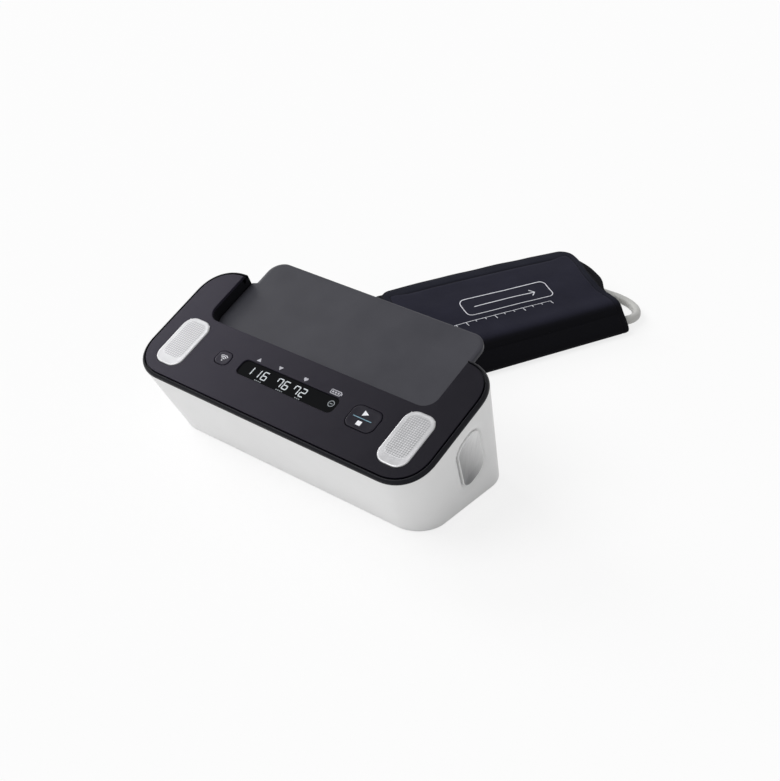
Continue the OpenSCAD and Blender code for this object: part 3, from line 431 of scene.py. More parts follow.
def cuff_cloth():
    """Dark woven nylon with a duller hem and a taped edge, painted darker below the flap as shade on the
    roll's front.
    """
    finish = Finish("cuff_cloth", (36, 36, 48), 0.62, Specular_IOR_Level=0.05, Sheen_Weight=0.05,
                    Sheen_Roughness=0.4, Sheen_Tint=colour(120, 124, 160))
    reach = 20.0
    scaled = finish.add("MapRange", Value=finish.attribute("edge_mm"), From_Max=reach)
    bands = [
        (0.0, colour(14, 14, 18)), (TAPE / reach - 0.02, colour(15, 15, 20)),
        (TAPE / reach + 0.02, colour(29, 30, 40)), (HEM / reach - 0.03, colour(30, 31, 41)),
        (HEM / reach, colour(8, 8, 11)), (HEM / reach + 0.03, colour(37, 37, 49)),
    ]
    tint = finish.ramp(scaled.outputs[0], bands)
    shade = finish.add("Mix", {"data_type": "RGBA", "blend_type": "MULTIPLY"}, Factor=0.35,
                       A=tint, B=finish.noise(0.06, 4.0))
    finish.set(Base_Color=shade.outputs["Result"])
    # painted shade: the cloth below the flap, on the roll's front, is coloured near black
    finish.shade_by("plain", (7, 7, 11))
    finish.bump(weave_height(finish, 0.7), 0.06, 0.6)
    finish.grain(0.08, 0.35, detail=3.0)
    return finish.material


def make_materials():
    moulded = (3.0, 0.012)
    made = {
        "case": Finish("case_white", (236, 236, 236), 0.4, Specular_IOR_Level=0.3)
        .mottle(0.02, 2).polish(0.05, 0.32, 0.42).grain(*moulded),
        "band": Finish("band_dark", (22, 22, 27), 0.36, Specular_IOR_Level=0.1)
        .mottle(0.03, 2).polish(0.08, 0.28, 0.4).grain(*moulded),
        # painted sheen: the panel's charcoal is lighter at its left end and darker towards its right
        "panel": Finish("panel_charcoal", (48, 45, 56), 0.42, Specular_IOR_Level=0.08)
        .mottle(0.015, 2).fade((15, 13, 22), -100, 90).polish(0.06, 0.36, 0.48).grain(4.0, 0.02),
        "walls": Finish("dock_wall_dark", (18, 18, 22), 0.5, Specular_IOR_Level=0.15)
        .mottle(0.05, 2).grain(*moulded),
        "tray": Finish("tray_grey", (60, 60, 66), 0.4, Specular_IOR_Level=0.12)
        .mottle(0.03, 3).polish(0.05, 0.3, 0.44).grain(2.5, 0.015),
        "lens": Finish("lens_black", (9, 10, 12), 0.06, Specular_IOR_Level=0.05)
        .mottle(0.05, 2).polish(0.02, 0.04, 0.09),
        # painted sheen: like the panel, the caps are lighter to the left and darker to the right
        "button": Finish("button_dark", (42, 39, 51), 0.38, Specular_IOR_Level=0.11)
        .mottle(0.08, 2).fade((15, 13, 23), -100, 90).polish(0.1, 0.3, 0.42).grain(4.0, 0.012),
        # painted shade: the waffle's grooves on the top electrodes are coloured darker
        "electrode": Finish("electrode_steel", (166, 166, 168), 0.44, metallic=0.6)
        .mottle(0.1, 3).polish(0.3, 0.3, 0.42, (1, 0.15, 0.15)).grain(1.6, 0.006, (1, 0.1, 0.1))
        .shade_by("groove", (122, 122, 124)),
        # painted shade: the side electrodes darken towards their front lower corners
        "brushed": Finish("electrode_brushed", (216, 216, 216), 0.4, metallic=0.5)
        .mottle(0.6, 6, 2.0, (1, 1.4, 0.05)).polish(1.2, 0.28, 0.42, (1, 1.6, 0.04))
        .grain(1.5, 0.008, (1, 1.6, 0.04)).shade_by("painted_pad_shade", (104, 104, 106)),
        "digit": Finish("digit_white", (206, 212, 216), 0.5).mottle(0.4, 3),
        "dim_digit": Finish("digit_dim", (120, 126, 130), 0.5).mottle(0.4, 4),
        "print": Finish("print_grey", (168, 168, 176), 0.55).mottle(0.6, 8).grain(3.0, 0.006),
        "print_white": Finish("print_white", (226, 227, 232), 0.55).mottle(0.6, 6).grain(3.0, 0.006),
        "print_blue": Finish("print_blue", (104, 148, 166), 0.5).mottle(0.6, 6),
        "cloth_print": Finish("cloth_print", (224, 225, 232), 0.7).mottle(0.8, 14).grain(1.2, 0.02),
        "hose": Finish("hose_grey", (190, 190, 187), 0.45, Specular_IOR_Level=0.3)
        .mottle(0.04, 4).polish(0.08, 0.36, 0.5).grain(0.8, 0.02),
        "plug": Finish("plug_grey", (150, 151, 154), 0.4).mottle(0.06, 3).grain(*moulded),
        "tie": Finish("tie_dark", (58, 58, 62), 0.6).mottle(0.2, 6).grain(1.4, 0.03),
        "rubber": Finish("foot_rubber", (70, 70, 74), 0.75).mottle(0.2, 5).grain(1.6, 0.03),
        "steel": Finish("screw_steel", (176, 178, 182), 0.3, metallic=1.0)
        .mottle(0.5, 8).grain(1.6, 0.01, (1, 1, 0.1)),
        "black": Finish("moulded_black", (24, 24, 27), 0.45).mottle(0.1, 3).grain(*moulded),
        "board": Finish("board_green", (30, 92, 52), 0.4).mottle(0.3, 10).grain(0.8, 0.02),
        "brass": Finish("contact_brass", (196, 160, 92), 0.3, metallic=1.0).mottle(0.4, 8),
        "tube": Finish("soft_tube", (212, 212, 208), 0.4, Subsurface_Weight=0.1).mottle(0.1, 4),
        "cell": Finish("cell_sleeve", (62, 110, 84), 0.32).mottle(0.1, 5).polish(0.2, 0.25, 0.4),
        "hook": Finish("hook_cloth", (26, 26, 30), 0.85, Sheen_Weight=0.3)
        .mottle(0.9, 8).grain(1.6, 0.2),
    }
    made = {name: finish.material for name, finish in made.items()}
    made["cloth"] = cuff_cloth()
    return made


FINISHES = make_materials()
CARRIED_OVER = {
    "lens": "display_lens",
    "board": "display_module main_board",
    "black": "start_stop_switch pairing_switch pressure_sensor pump_head dc_jack cuff_hose_socket",
    "steel": "board_screws pump_motor bleed_valve air_jack battery_contacts case_screws cuff_ring",
    "brass": "electrode_contacts",
    "plug": "air_manifold air_plug",
    "tube": "inner_air_tubes",
    "cell": "battery_cells",
    "case": "battery_cover",
    "rubber": "rubber_feet",
    "tie": "hose_tie",
}


def dress_nodes():
    """Gives each solid that shows as it is its material."""
    for finish, names in CARRIED_OVER.items():
        for node in [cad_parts[name] for name in names.split()]:
            if not node.material_slots:
                node.data.materials.append(None)
            for slot in node.material_slots:
                slot.material = FINISHES[finish]


# ---------- Mesh helpers ----------

def add_piece(name, bm, finish, sharp=35, weighted=False, body="monitor"):
    """A visible piece from a bmesh, which it uses up."""
    mesh = finish_mesh(name, bm)
    piece = link(bpy.data.objects.new(name, mesh))
    mesh.materials.append(FINISHES[finish])
    smooth_shade(mesh, sharp)
    if weighted:
        normals = piece.modifiers.new("weighted", "WEIGHTED_NORMAL")
        normals.keep_sharp = True
    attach(piece, body)
    return piece


def smooth_shade(mesh, sharp):
    mesh.polygons.foreach_set("use_smooth", [True] * len(mesh.polygons))
    mesh.set_sharp_from_angle(angle=math.radians(sharp))


def finish_mesh(name, bm):
    bmesh.ops.recalc_face_normals(bm, faces=bm.faces)
    mesh = bpy.data.meshes.new(name)
    bm.to_mesh(mesh)
    bm.free()
    return mesh


def fill(bm, loops):
    """Fills an outline with holes, all lists of vertices in one plane."""
    flat = [v for loop in loops for v in loop]
    for triangle in tessellate_polygon([[v.co for v in loop] for loop in loops]):
        bm.faces.new([flat[i] for i in triangle])


def bridge(bm, low, high, closed=True):
    for i in range(len(low) if closed else len(low) - 1):
        j = (i + 1) % len(low)
        bm.faces.new((low[i], low[j], high[j], high[i]))


def skin(bm, rings, closed=True):
    """Faces from each row of points to the next."""
    for low, high in zip(rings, rings[1:]):
        bridge(bm, low, high, closed)


def skin_solid(bm, rings):
    skin(bm, rings)
    fill(bm, [rings[0]])
    fill(bm, [rings[-1]])


def skin_sheet(bm, faces):
    """A thin sheet from the two like grids of points on its faces."""
    for grid in faces:
        skin(bm, grid, closed=False)
    for j in (0, -1):
        bridge(bm, faces[0][j], faces[1][j], closed=False)
        bridge(bm, *[[row[j] for row in grid] for grid in faces], closed=False)


def plate_into(bm, loops_at, profile, place):
    """A closed plate: loops_at(grow) is its outline with holes, profile its (grow, n) steps."""
    steps = [
        [[bm.verts.new(place(x, u, n)) for x, u in loop] for loop in loops_at(grow)]
        for grow, n in profile
    ]
    for low, high in zip(steps, steps[1:]):
        for a, b in zip(low, high):
            bridge(bm, a, b)
    fill(bm, steps[0])
    fill(bm, steps[-1])


def plate(loops_at, profile):
    bm = bmesh.new()
    plate_into(bm, loops_at, profile, deck)
    return bm


def turn(steps, sweep=90):
    """Angles from nothing to the sweep, in equal steps."""
    return [math.radians(sweep * i / steps) for i in range(steps + 1)]


def mirrored(points):
    return [(-x, u) for x, u in reversed(points)]


def round_edge(low_n, high_n, r, lower_r=0.0, steps=4):
    """Profile of a plate whose upper edge, and if asked its lower one, is rounded."""
    lower = turn(steps) if lower_r else [math.radians(90)]
    profile = [(lower_r * (math.sin(t) - 1), low_n + lower_r * (1 - math.cos(t))) for t in lower]
    return profile + [(r * (math.cos(t) - 1), high_n + r * (math.sin(t) - 1)) for t in turn(steps)]


def quarter(r, power, t):
    return r * math.cos(t) ** (2 / power), r * math.sin(t) ** (2 / power)


def corner_arcs(w, d, r, power, steps):
    """The round corners of a rectangle, anticlockwise from the right side's upper end."""
    hw, hd = w / 2 - r, d / 2 - r
    corners = [[], [], [], []]
    for t in turn(steps):
        c, s = quarter(r, power, t)
        places = ((hw + c, hd + s), (-hw - s, hd + c), (-hw - c, -hd - s), (hw + s, -hd - c))
        for corner, place in zip(corners, places):
            corner.append(place)
    return corners


def rounded(w, d, r, at=(0, 0), steps=12):
    corners = corner_arcs(w, d, max(r, 0.15), 2.0, steps)
    return [(at[0] + x, at[1] + u) for corner in corners for x, u in corner]


def opening(size, at, gap=0.0):
    """A hole that draws in as its plate grows."""
    w, d, r = size
    return lambda grow: rounded(w + 2 * (gap - grow), d + 2 * (gap - grow), r + gap - grow, at, 10)


def deck_edge(inset, cut_x, steps=22):
    """The deck's outline from the dock's left wall round the front to its right wall."""
    r = DECK_CORNER_R - inset
    hw = DECK_W / 2 - DECK_CORNER_R
    hd = DECK_LEN / 2 - DECK_CORNER_R
    t_cut = math.acos((max(cut_x - hw, 0.0) / r) ** (DECK_POWER / 2))
    right = []
    for t in turn(steps):
        c, s = quarter(r, DECK_POWER, t)
        right.append((hw + s, DECK_LEN / 2 - hd - c))
    for i in range(steps + 1):
        c, s = quarter(r, DECK_POWER, t_cut * i / steps)
        right.append((hw + c, DECK_LEN / 2 + hd + s))
    return mirrored(right) + right


def dock_front(grow, steps=10):
    """The dock's front wall from right to left, with its two round corners."""
    r = DOCK_CORNER_R + grow
    x0 = DOCK_HALF_W + grow - r
    u0 = DOCK_FRONT_U - grow + r
    right = [(x0 + r * math.cos(t), u0 + r * math.sin(t)) for t in turn(steps, -90)]
    return right + mirrored(right)


def tongue(front, side_hw, rear_hw, rear_u, r, steps=12):
    """A front edge, given from left to right, and a narrower part behind the deck."""
    rear = [(rear_hw - r + r * math.cos(t), rear_u - r + r * math.sin(t)) for t in turn(steps)]
    right = [(side_hw, DECK_LEN), (rear_hw, DECK_LEN + 1.5)] + rear
    return front + right + mirrored(right)


# ---------- Housing ----------

def ruled_outline(w, d, r, power, side_steps=56, end_steps=8, corner_steps=20):
    """The outline with its straights divided too, so that two of them match point by point."""
    corners = corner_arcs(w, d, r, power, corner_steps)
    points = []
    for i, corner in enumerate(corners):
        points += corner
        start, end = corner[-1], corners[(i + 1) % 4][0]
        count = side_steps if i % 2 else end_steps
        for t in [k / count for k in range(1, count)]:
            points.append((start[0] * (1 - t) + end[0] * t, start[1] * (1 - t) + end[1] * t))
    return points


def case_ring(kind, inset, height):
    if kind == "deck":
        loop = ruled_outline(DECK_W - 2 * inset, DECK_LEN - 2 * inset, DECK_CORNER_R - inset, DECK_POWER)
        return [deck(x, u + DECK_LEN / 2, height) for x, u in loop]
    loop = ruled_outline(BASE_W - 2 * inset, BASE_D - 2 * inset, BASE_CORNER_R - inset, 2.0)
    return [upright(x, y, height) for x, y in loop]


def outside_of(x, y, size):
    """Distance of a point from a rounded rectangle, negative inside."""
    w, d, r = size
    qx, qy = abs(x) - w / 2 + r, abs(y) - d / 2 + r
    return math.hypot(max(qx, 0), max(qy, 0)) + min(max(qx, qy), 0) - r


def sink_side(point):
    """Draws the wall in round a side electrode."""
    if abs(point.x) < (BASE_W / 2 - 2) * MM:
        return point
    x, y = side_pad_place(point)
    away = outside_of(x, y, SIDE_PAD_SIZE) - 0.5
    if away > SIDE_FLARE:
        return point
    depth = SIDE_POCKET * (1 - 0.55 * smooth(away / 0.9) - 0.45 * smooth(away / SIDE_FLARE))
    depth += SCOOP_DEPTH * smooth((-away - 0.6) / 3)
    side = 1 if point.x > 0 else -1
    place = side_pad(side)
    return point - (place(0, 0, 1) - place(0, 0, 0)) * depth


def cylinder_cutter(bm, start, end, r, sides=40):
    axis = (end - start).normalized()
    across = axis.orthogonal().normalized()
    up = axis.cross(across)
    spokes = [(across * math.cos(t) + up * math.sin(t)) * r * MM for t in turn(sides, 360)[:-1]]
    rings = [[bm.verts.new(centre + spoke) for spoke in spokes] for centre in (start, end)]
    skin(bm, rings)
    bm.faces.new(rings[0])
    bm.faces.new(rings[1])


def box_cutter(bm, low, high, place):
    loop = [(low[0], low[1]), (high[0], low[1]), (high[0], high[1]), (low[0], high[1])]
    plate_into(bm, lambda grow: [loop], [(0, low[2]), (0, high[2])], place)


def upright(x, y, z):
    return Vector((x, y, z)) * MM


def rear_wall(x, z, out):
    """A point out of the leaning rear wall."""
    y = BASE_D / 2 - (z - BASE_Z) * math.tan(REAR_LEAN)
    return upright(x, y + out * math.cos(REAR_LEAN), z + out * math.sin(REAR_LEAN))


def carve(piece, cutters):
    """Takes the closed shapes in a bmesh out of a piece."""
    tool = link(bpy.data.objects.new("cutter", finish_mesh("cutter", cutters)))
    cut = piece.modifiers.new("cut", "BOOLEAN")
    cut.operation = "DIFFERENCE"
    cut.solver = "EXACT"
    cut.object = tool
    bpy.context.view_layer.update()
    evaluated = piece.evaluated_get(bpy.context.evaluated_depsgraph_get())
    result = bpy.data.meshes.new_from_object(evaluated)
    piece.modifiers.clear()
    piece.data = result
    bpy.data.objects.remove(tool)


def make_case():
    bm = bmesh.new()
    foot = case_ring("base", 0, BASE_Z)
    top = case_ring("deck", 0, -0.12)
    rings = [
        case_ring("base", CASE_FOOT_R * (1 - math.sin(t)), BASE_Z - CASE_FOOT_R * math.cos(t))
        for t in turn(6)
    ]
    for t in [i / CASE_STEPS for i in range(1, CASE_STEPS + 1)]:
        rings.append([sink_side(a.lerp(b, t)) for a, b in zip(foot, top)])
    rings.append(case_ring("deck", 0.35, 0.0))
    rings.append(case_ring("deck", WALL, 0.0))
    rings.append(case_ring("base", WALL + 2.2, CASE_LIFT + 2.8))
    skin_solid(bm, [[bm.verts.new(p) for p in ring] for ring in rings])
    piece = add_piece("case_shell", bm, "case")

    cutters = bmesh.new()
    notch = DOCK_HALF_W + DOCK_WALL + 0.3
    box_cutter(cutters, (-notch, DOCK_FRONT_U + 12, SHELF_LOW_N - 0.2), (notch, DECK_LEN + 60, 40), deck)
    for x in (-JACK_X, JACK_X):
        cylinder_cutter(cutters, rear_wall(x, JACK_Z, -9), rear_wall(x, JACK_Z, 4), JACK_HOLE_R)
    for x, y in FEET_AT:
        cylinder_cutter(cutters, upright(x, y, -1), upright(x, y, 2.1), FOOT_HOLE_R)
    for x, y in SCREWS_AT:
        cylinder_cutter(cutters, upright(x, y, -1), upright(x, y, 3.4), SCREW_HOLE_R)
    cover_low, cover_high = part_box("battery_cover")
    travel = 7.0
    box_cutter(
        cutters,
        (cover_low.x / MM + 1.5, cover_low.y / MM - travel - 0.2, -1),
        (cover_high.x / MM - 1.5, cover_high.y / MM + 0.2, 2.05), upright
    )
    carve(piece, cutters)
    smooth_shade(piece.data, 38)
    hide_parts("lower_case")


def make_band():
    """The dark rounded band round the deck and the floor of the groove inside it."""
    profile = [
        (0.0, 0.02), (0.03, 0.5), (0.1, 1.0), (0.24, 1.45), (0.45, 1.86), (0.68, 2.18),
        (0.95, 2.42), (1.2, 2.56), (1.42, BAND_H), (1.56, 2.57), (1.66, 2.46), (BAND_RIM, 2.3),
        (BAND_RIM, POCKET_N), (4.6, POCKET_N), (4.6, PLATE_N), (3.2, PLATE_N), (2.9, 0.02),
    ]
    bm = bmesh.new()
    rings = []
    for inset, n in profile:
        rings.append([bm.verts.new(deck(x, u, n)) for x, u in deck_edge(inset, DOCK_HALF_W)])
    skin(bm, rings + rings[:1], closed=False)
    fill(bm, [[ring[0] for ring in rings]])
    fill(bm, [[ring[-1] for ring in rings]])
    band = add_piece("deck_band", bm, "band")

    def wall_side(gap):
        half = DOCK_HALF_W + gap
        return [(half, DECK_LEN)] + dock_front(gap) + [(-half, DECK_LEN)]

    def wall_loop(grow):
        return [wall_side(DOCK_WALL + grow) + wall_side(-grow)[::-1]]

    walls = plate(wall_loop, [(0, SHELF_LOW_N), (0, 0.96)])
    walls = add_piece("dock_walls", walls, "walls")

    def shelf_loop(grow):
        front = [(-DOCK_HALF_W - grow, DOCK_FRONT_U + 8), (DOCK_HALF_W + grow, DOCK_FRONT_U + 8)]
        return [tongue(front, DOCK_HALF_W + grow, TRAY_REAR_HALF_W - 2 + grow,
                       SHELF_REAR_U + grow, TRAY_CORNER_R - 2 + grow)]

    shelf = plate(shelf_loop, round_edge(SHELF_LOW_N, SHELF_N, 0.3, 0.6))
    shelf = add_piece("dock_shelf", shelf, "band", weighted=True)
    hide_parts("upper_case")
    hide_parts("upper_case")
    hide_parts("upper_case")


def make_panel():
    holes = [
        opening(WINDOW_SIZE, WINDOW_AT),
        opening(START_SIZE, START_AT, BUTTON_GAP),
        opening(PAIR_SIZE, PAIR_AT, BUTTON_GAP),
        opening(TOP_PAD_SIZE, TOP_PAD_AT, 0.1),
        opening(TOP_PAD_SIZE, (-TOP_PAD_AT[0], TOP_PAD_AT[1]), 0.1),
    ]

    def loops(grow):
        outer = deck_edge(PANEL_INSET - grow, DOCK_HALF_W + EDGE_R - grow)
        return [outer + dock_front(EDGE_R - grow)] + [hole(grow) for hole in holes]

    panel = plate(loops, round_edge(PANEL_N, PANEL_TOP_N, EDGE_R))
    panel = add_piece("panel_face", panel, "panel", weighted=True)
    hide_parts("face_panel")


def make_tray():
    def loops(grow):
        front = [(-x, u) for x, u in dock_front(grow - 0.4)]
        rear_grow = TRAY_REAR_ROUND * grow
        return [tongue(front, DOCK_HALF_W - 0.4 + grow, TRAY_REAR_HALF_W + rear_grow,
                       TRAY_REAR_U + rear_grow, TRAY_CORNER_R + rear_grow)]

    tray = plate(loops, round_edge(TRAY_LOW_N, TRAY_N, 0.8, 0.5))
    tray = add_piece("tray_face", tray, "tray", weighted=True)
    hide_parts("dock_tray")


# ---------- Controls ----------

def make_button(name, node, body, size, at):
    w, d, r = size
    profile = [(-0.2, -2.3), (0.9, -2.3), (0.9, -2.1), (0.0, -2.1)]
    profile += round_edge(-2.0, CAP_TOP_N, 0.45)
    dish = ((1.2, 0.0), (2.2, 0.05), (3.2, 0.09), (4.2, 0.11))
    profile += [(-inset, CAP_TOP_N - depth) for inset, depth in dish]
    cap = plate(lambda g: [rounded(w + 2 * g, d + 2 * g, r + g, at)], profile)
    piece = add_piece(name, cap, "button", weighted=True, body=body)
    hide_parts(node)


def top_pad_relief(bm, at):
    """A waffle of fine grooves over the face of a top electrode, bare at its lower end, with painted
    shade in the grooves.
    """
    columns, rows, fine = 11, 21, 6
    pitch_x, pitch_u = 1.46, 1.34
    middle_u = 1.5
    area = (columns * pitch_x, rows * pitch_u, 5.2)
    groove = bm.verts.layers.float.get("groove")
    grid = []
    for j in range(rows * fine + 1):
        row = []
        for i in range(columns * fine + 1):
            x, u = (i / fine - columns / 2) * pitch_x, (j / fine - rows / 2) * pitch_u
            to_line = max(abs(i / fine % 1 - 0.5), abs(j / fine % 1 - 0.5)) * 2
            inside = smooth(-outside_of(x, u, area) / 1.5)
            line = smooth((to_line - 0.55) / 0.4)
            n = TOP_PAD_N - 0.02 + 0.025 * smooth(3 * inside) + WAFFLE_H * inside * (1 - line)
            vert = bm.verts.new(deck(at[0] + x, at[1] + middle_u + u, n))
            # the groove weight paints shade into the lines of the waffle
            vert[groove] = line * inside
            row.append(vert)
        grid.append(row)
    skin(bm, grid, closed=False)


def make_top_pad(name, node, side):
    w, d, r = TOP_PAD_SIZE
    at = (side * TOP_PAD_AT[0], TOP_PAD_AT[1])
    profile = [(0, POCKET_N), (0, 2.75), (-0.08, 3.0), (-0.3, 3.2), (-0.65, 3.3), (-1.1, 3.3)]
    profile.append((-1.5, TOP_PAD_N))
    bm = bmesh.new()
    bm.verts.layers.float.new("groove")
    plate_into(bm, lambda g: [rounded(w + 2 * g, d + 2 * g, r + g, at, 16)], profile, deck)
    top_pad_relief(bm, at)
    piece = add_piece(name, bm, "electrode", 50)
    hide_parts(node)


def scoop(x, y):
    """How far the face of a side electrode is dished at a place."""
    w, d, _ = SIDE_PAD_SIZE
    across = max(1 - (x / (w / 2 - 0.35)) ** 2, 0)
    return SCOOP_DEPTH * across * smooth((d / 2 - 0.35 - abs(y)) / 7)


def make_side_pad(name, node, side):
    """A brushed plate with a trough down its face, its colour painted darker towards its front lower
    corner as shade.
    """
    w, d, r = SIDE_PAD_SIZE
    top = 0.1 - SIDE_POCKET + SIDE_PAD_T
    place = side_pad(side)
    bm = bmesh.new()
    painted_pad_shade = bm.verts.layers.float.new("painted_pad_shade")
    edge = [(0, 0.1 - SIDE_POCKET), (0, top - 0.35), (0.1, top - 0.1), (0.35, top)]
    rings = [
        [bm.verts.new(place(x, y, z)) for x, y in rounded(w - 2 * g, d - 2 * g, r - g, steps=18)]
        for g, z in edge
    ]
    for i in range(1, 18):
        g = 0.35 + (w / 2 - 0.6) * i / 17
        ring = []
        for x, y in rounded(w - 2 * g, d - 2 * g, r - g, steps=18):
            vert = bm.verts.new(place(x, y, top - scoop(x, y)))
            # painted shade: the weight grows towards the plate's front lower corner
            vert[painted_pad_shade] = smooth(0.5 - 0.7 * x / w - 0.5 * y / d)
            ring.append(vert)
        rings.append(ring)
    skin_solid(bm, rings)
    piece = add_piece(name, bm, "brushed", 50)
    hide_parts(node)


# ---------- Signs on the deck ----------

def half_widths(points, width, closed=False):
    """The step from each point of a line to the left side of its stroke."""
    last = len(points) - 1
    steps = []
    for i in range(last + 1):
        ahead = points[(i + 1) % len(points) if closed else min(i + 1, last)]
        behind = points[i - 1 if closed else max(i - 1, 0)]
        dx, dy = ahead[0] - behind[0], ahead[1] - behind[1]
        half = width / 2 / math.hypot(dx, dy)
        steps.append((-dy * half, dx * half))
    return steps


def stroke(points, width):
    """Outline of a line of a given width through the points."""
    sides = list(zip(points, half_widths(points, width)))
    left = [(x + nx, u + nu) for (x, u), (nx, nu) in sides]
    return left + [(x - nx, u - nu) for (x, u), (nx, nu) in reversed(sides)]


def arc(at, r, start, end, steps=16):
    angles = [math.radians(start) + t for t in turn(steps, end - start)]
    return [(at[0] + r * math.cos(t), at[1] + r * math.sin(t)) for t in angles]


def ink(name, shapes, n, finish, body="monitor"):
    """Thin printed shapes, each a list of an outline and its holes."""
    bm = bmesh.new()
    for shape in shapes:
        plate_into(bm, lambda grow, shape=shape: shape, [(0, n), (0, n + INK)], deck)
    add_piece(name, bm, finish, body=body)


# The seven strokes of a digit, in a box 1 wide and 2 high, and the digits that light them
SEGMENTS = {
    "a": ((0, 2), (1, 2)), "b": ((1, 2), (1, 1)), "c": ((1, 1), (1, 0)), "d": ((0, 0), (1, 0)),
    "e": ((0, 1), (0, 0)), "f": ((0, 2), (0, 1)), "g": ((0, 1), (1, 1)),
}
LIT = {"1": "bc", "2": "abged", "6": "acdefg", "7": "abcf"}


def digit(value, at, width, height, thick):
    shapes = []
    lean = 0.02
    for key in LIT[value]:
        ends = []
        for x, u in SEGMENTS[key]:
            up = u * height / 2
            ends.append(Vector((at[0] + x * width + up * lean, at[1] + up)))
        trim = (ends[1] - ends[0]).normalized() * 0.14
        shapes.append([stroke([ends[0] + trim, ends[1] - trim], thick)])
    return shapes


def make_display():
    low_u = 25.1
    width, height = 3.2, 5.3
    shapes = []
    readings = [("116", -31.4, 5.6), ("76", -9.2, 4.9), ("72", 3.3, 4.9)]
    for text, x, pitch in readings:
        for i, character in enumerate(text):
            shapes += digit(character, (x + pitch * i, low_u), width, height, 0.66)
    ink("display_digits", shapes, LENS_TOP_N, "digit")
    marks = []
    for x, dashes in ((-23.0, 4), (-6.8, 4), (7.3, 3)):
        marks += [[rounded(0.9, 0.6, 0.1, (x + 1.35 * i + 0.45, 23.3), 2)] for i in range(dashes)]
    clock_at = (29.6, 28.7)
    marks.append([arc(clock_at, 2.1, 0, 360, 28)[:-1], arc(clock_at, 1.6, 0, 360, 28)[:-1]])
    marks.append([stroke([(clock_at[0] - 1.0, clock_at[1]), (clock_at[0] + 1.0, clock_at[1])], 0.5)])
    ink("display_marks", marks, LENS_TOP_N, "dim_digit")


def heart(at, size):
    points = []
    for t in turn(36, 360)[:-1]:
        x = 16 * math.sin(t) ** 3
        u = 13 * math.cos(t) - 5 * math.cos(2 * t) - 2 * math.cos(3 * t) - math.cos(4 * t)
        points.append((at[0] + x * size / 32, at[1] + u * size / 32))
    return points


def make_signs():
    up = [[(-30.3, 34.4), (-27.1, 34.4), (-28.7, 36.8)]]
    down = [[(-14.6, 36.8), (-13.0, 34.4), (-11.4, 36.8)]]
    cell = (27.9, 35.5)
    frame_out = rounded(7.2, 3.0, 0.6, cell, 4)
    frame_in = rounded(6.3, 2.1, 0.3, cell, 4)
    bars = [[rounded(1.2, 1.2, 0.1, (cell[0] + x, cell[1]), 2)] for x in (-1.9, 0.0, 1.9)]
    shapes = [up, down, [heart((6.0, 35.7), 3.0)], [frame_out, frame_in]] + bars
    shapes.append([rounded(0.6, 1.4, 0.15, (cell[0] + 4.1, cell[1]), 2)])
    ink("panel_signs", shapes, PANEL_TOP_N, "print")

    x, u = START_AT[0] - 0.7, START_AT[1] - 0.3
    top_n = CAP_TOP_N - 0.09
    start_stop = [
        [[(x - 1.6, u + 1.6), (x + 2.1, u + 3.4), (x - 1.6, u + 5.2)]],
        [rounded(3.1, 3.1, 0.3, (x, u - 3.3), 3)],
    ]
    ink("start_stop_signs", start_stop, top_n, "print_white", "start_stop")
    line = [[stroke([(x - 6.2, u), (x + 6.2, u)], 0.45)]]
    ink("start_stop_line", line, top_n, "print_blue", "start_stop")
    x, u = PAIR_AT
    waves = [[stroke(arc((x, u - 1.7), r, 45, 135), 0.42)] for r in (1.5, 2.6, 3.7)]
    waves.append([arc((x, u - 1.7), 0.45, 0, 360, 14)[:-1]])
    ink("pairing_signs", waves, top_n, "print_white", "pairing")


# ---------- Cuff ----------

ROLL_TILT = math.atan(ROLL_RISE / ROLL_FLAT)
ROLL_BACK = (ROLL_FRONT[0] + ROLL_FLAT, ROLL_FRONT[1])


def roll_stations():
    """Middle line of the wound wrap: (w, z, outward w, outward z)."""
    stations = []

    def add(centre, angle, d):
        out = (math.cos(angle), math.sin(angle))
        stations.append((centre[0] + d * out[0], centre[1] + d * out[1], out[0], out[1]))

    def front(d, steps=20):
        for i in range(steps + 1):
            add(ROLL_FRONT, -math.pi / 2 - (math.pi - ROLL_TILT) * i / steps, d)

    def back(d, steps=10):
        high = (ROLL_BACK[0], ROLL_BACK[1] + ROLL_RISE)
        for i in range(steps + 1):
            add(high, (math.pi / 2 + ROLL_TILT) * (1 - i / steps), d + WRAP_PITCH / 2 * i / steps)
        for i in range(1, steps + 1):
            add(ROLL_BACK, -math.pi / 2 * i / steps, d + WRAP_PITCH / 2 * (1 + i / steps))

    layers = [ROLL_FIRST + WRAP_PITCH * k for k in range(ROLL_TURNS + 1)]
    add((ROLL_FRONT[0] + ROLL_STUB, ROLL_FRONT[1]), -math.pi / 2, layers[0])
    front(layers[0])
    for k in range(ROLL_TURNS):
        back(layers[k])
        front(layers[k + 1])
    end = (ROLL_FRONT[0] + FLAP_LEN * math.cos(ROLL_TILT),
           ROLL_FRONT[1] + FLAP_LEN * math.sin(ROLL_TILT))
    add(end, math.pi / 2 + ROLL_TILT, layers[-1])
    return stations


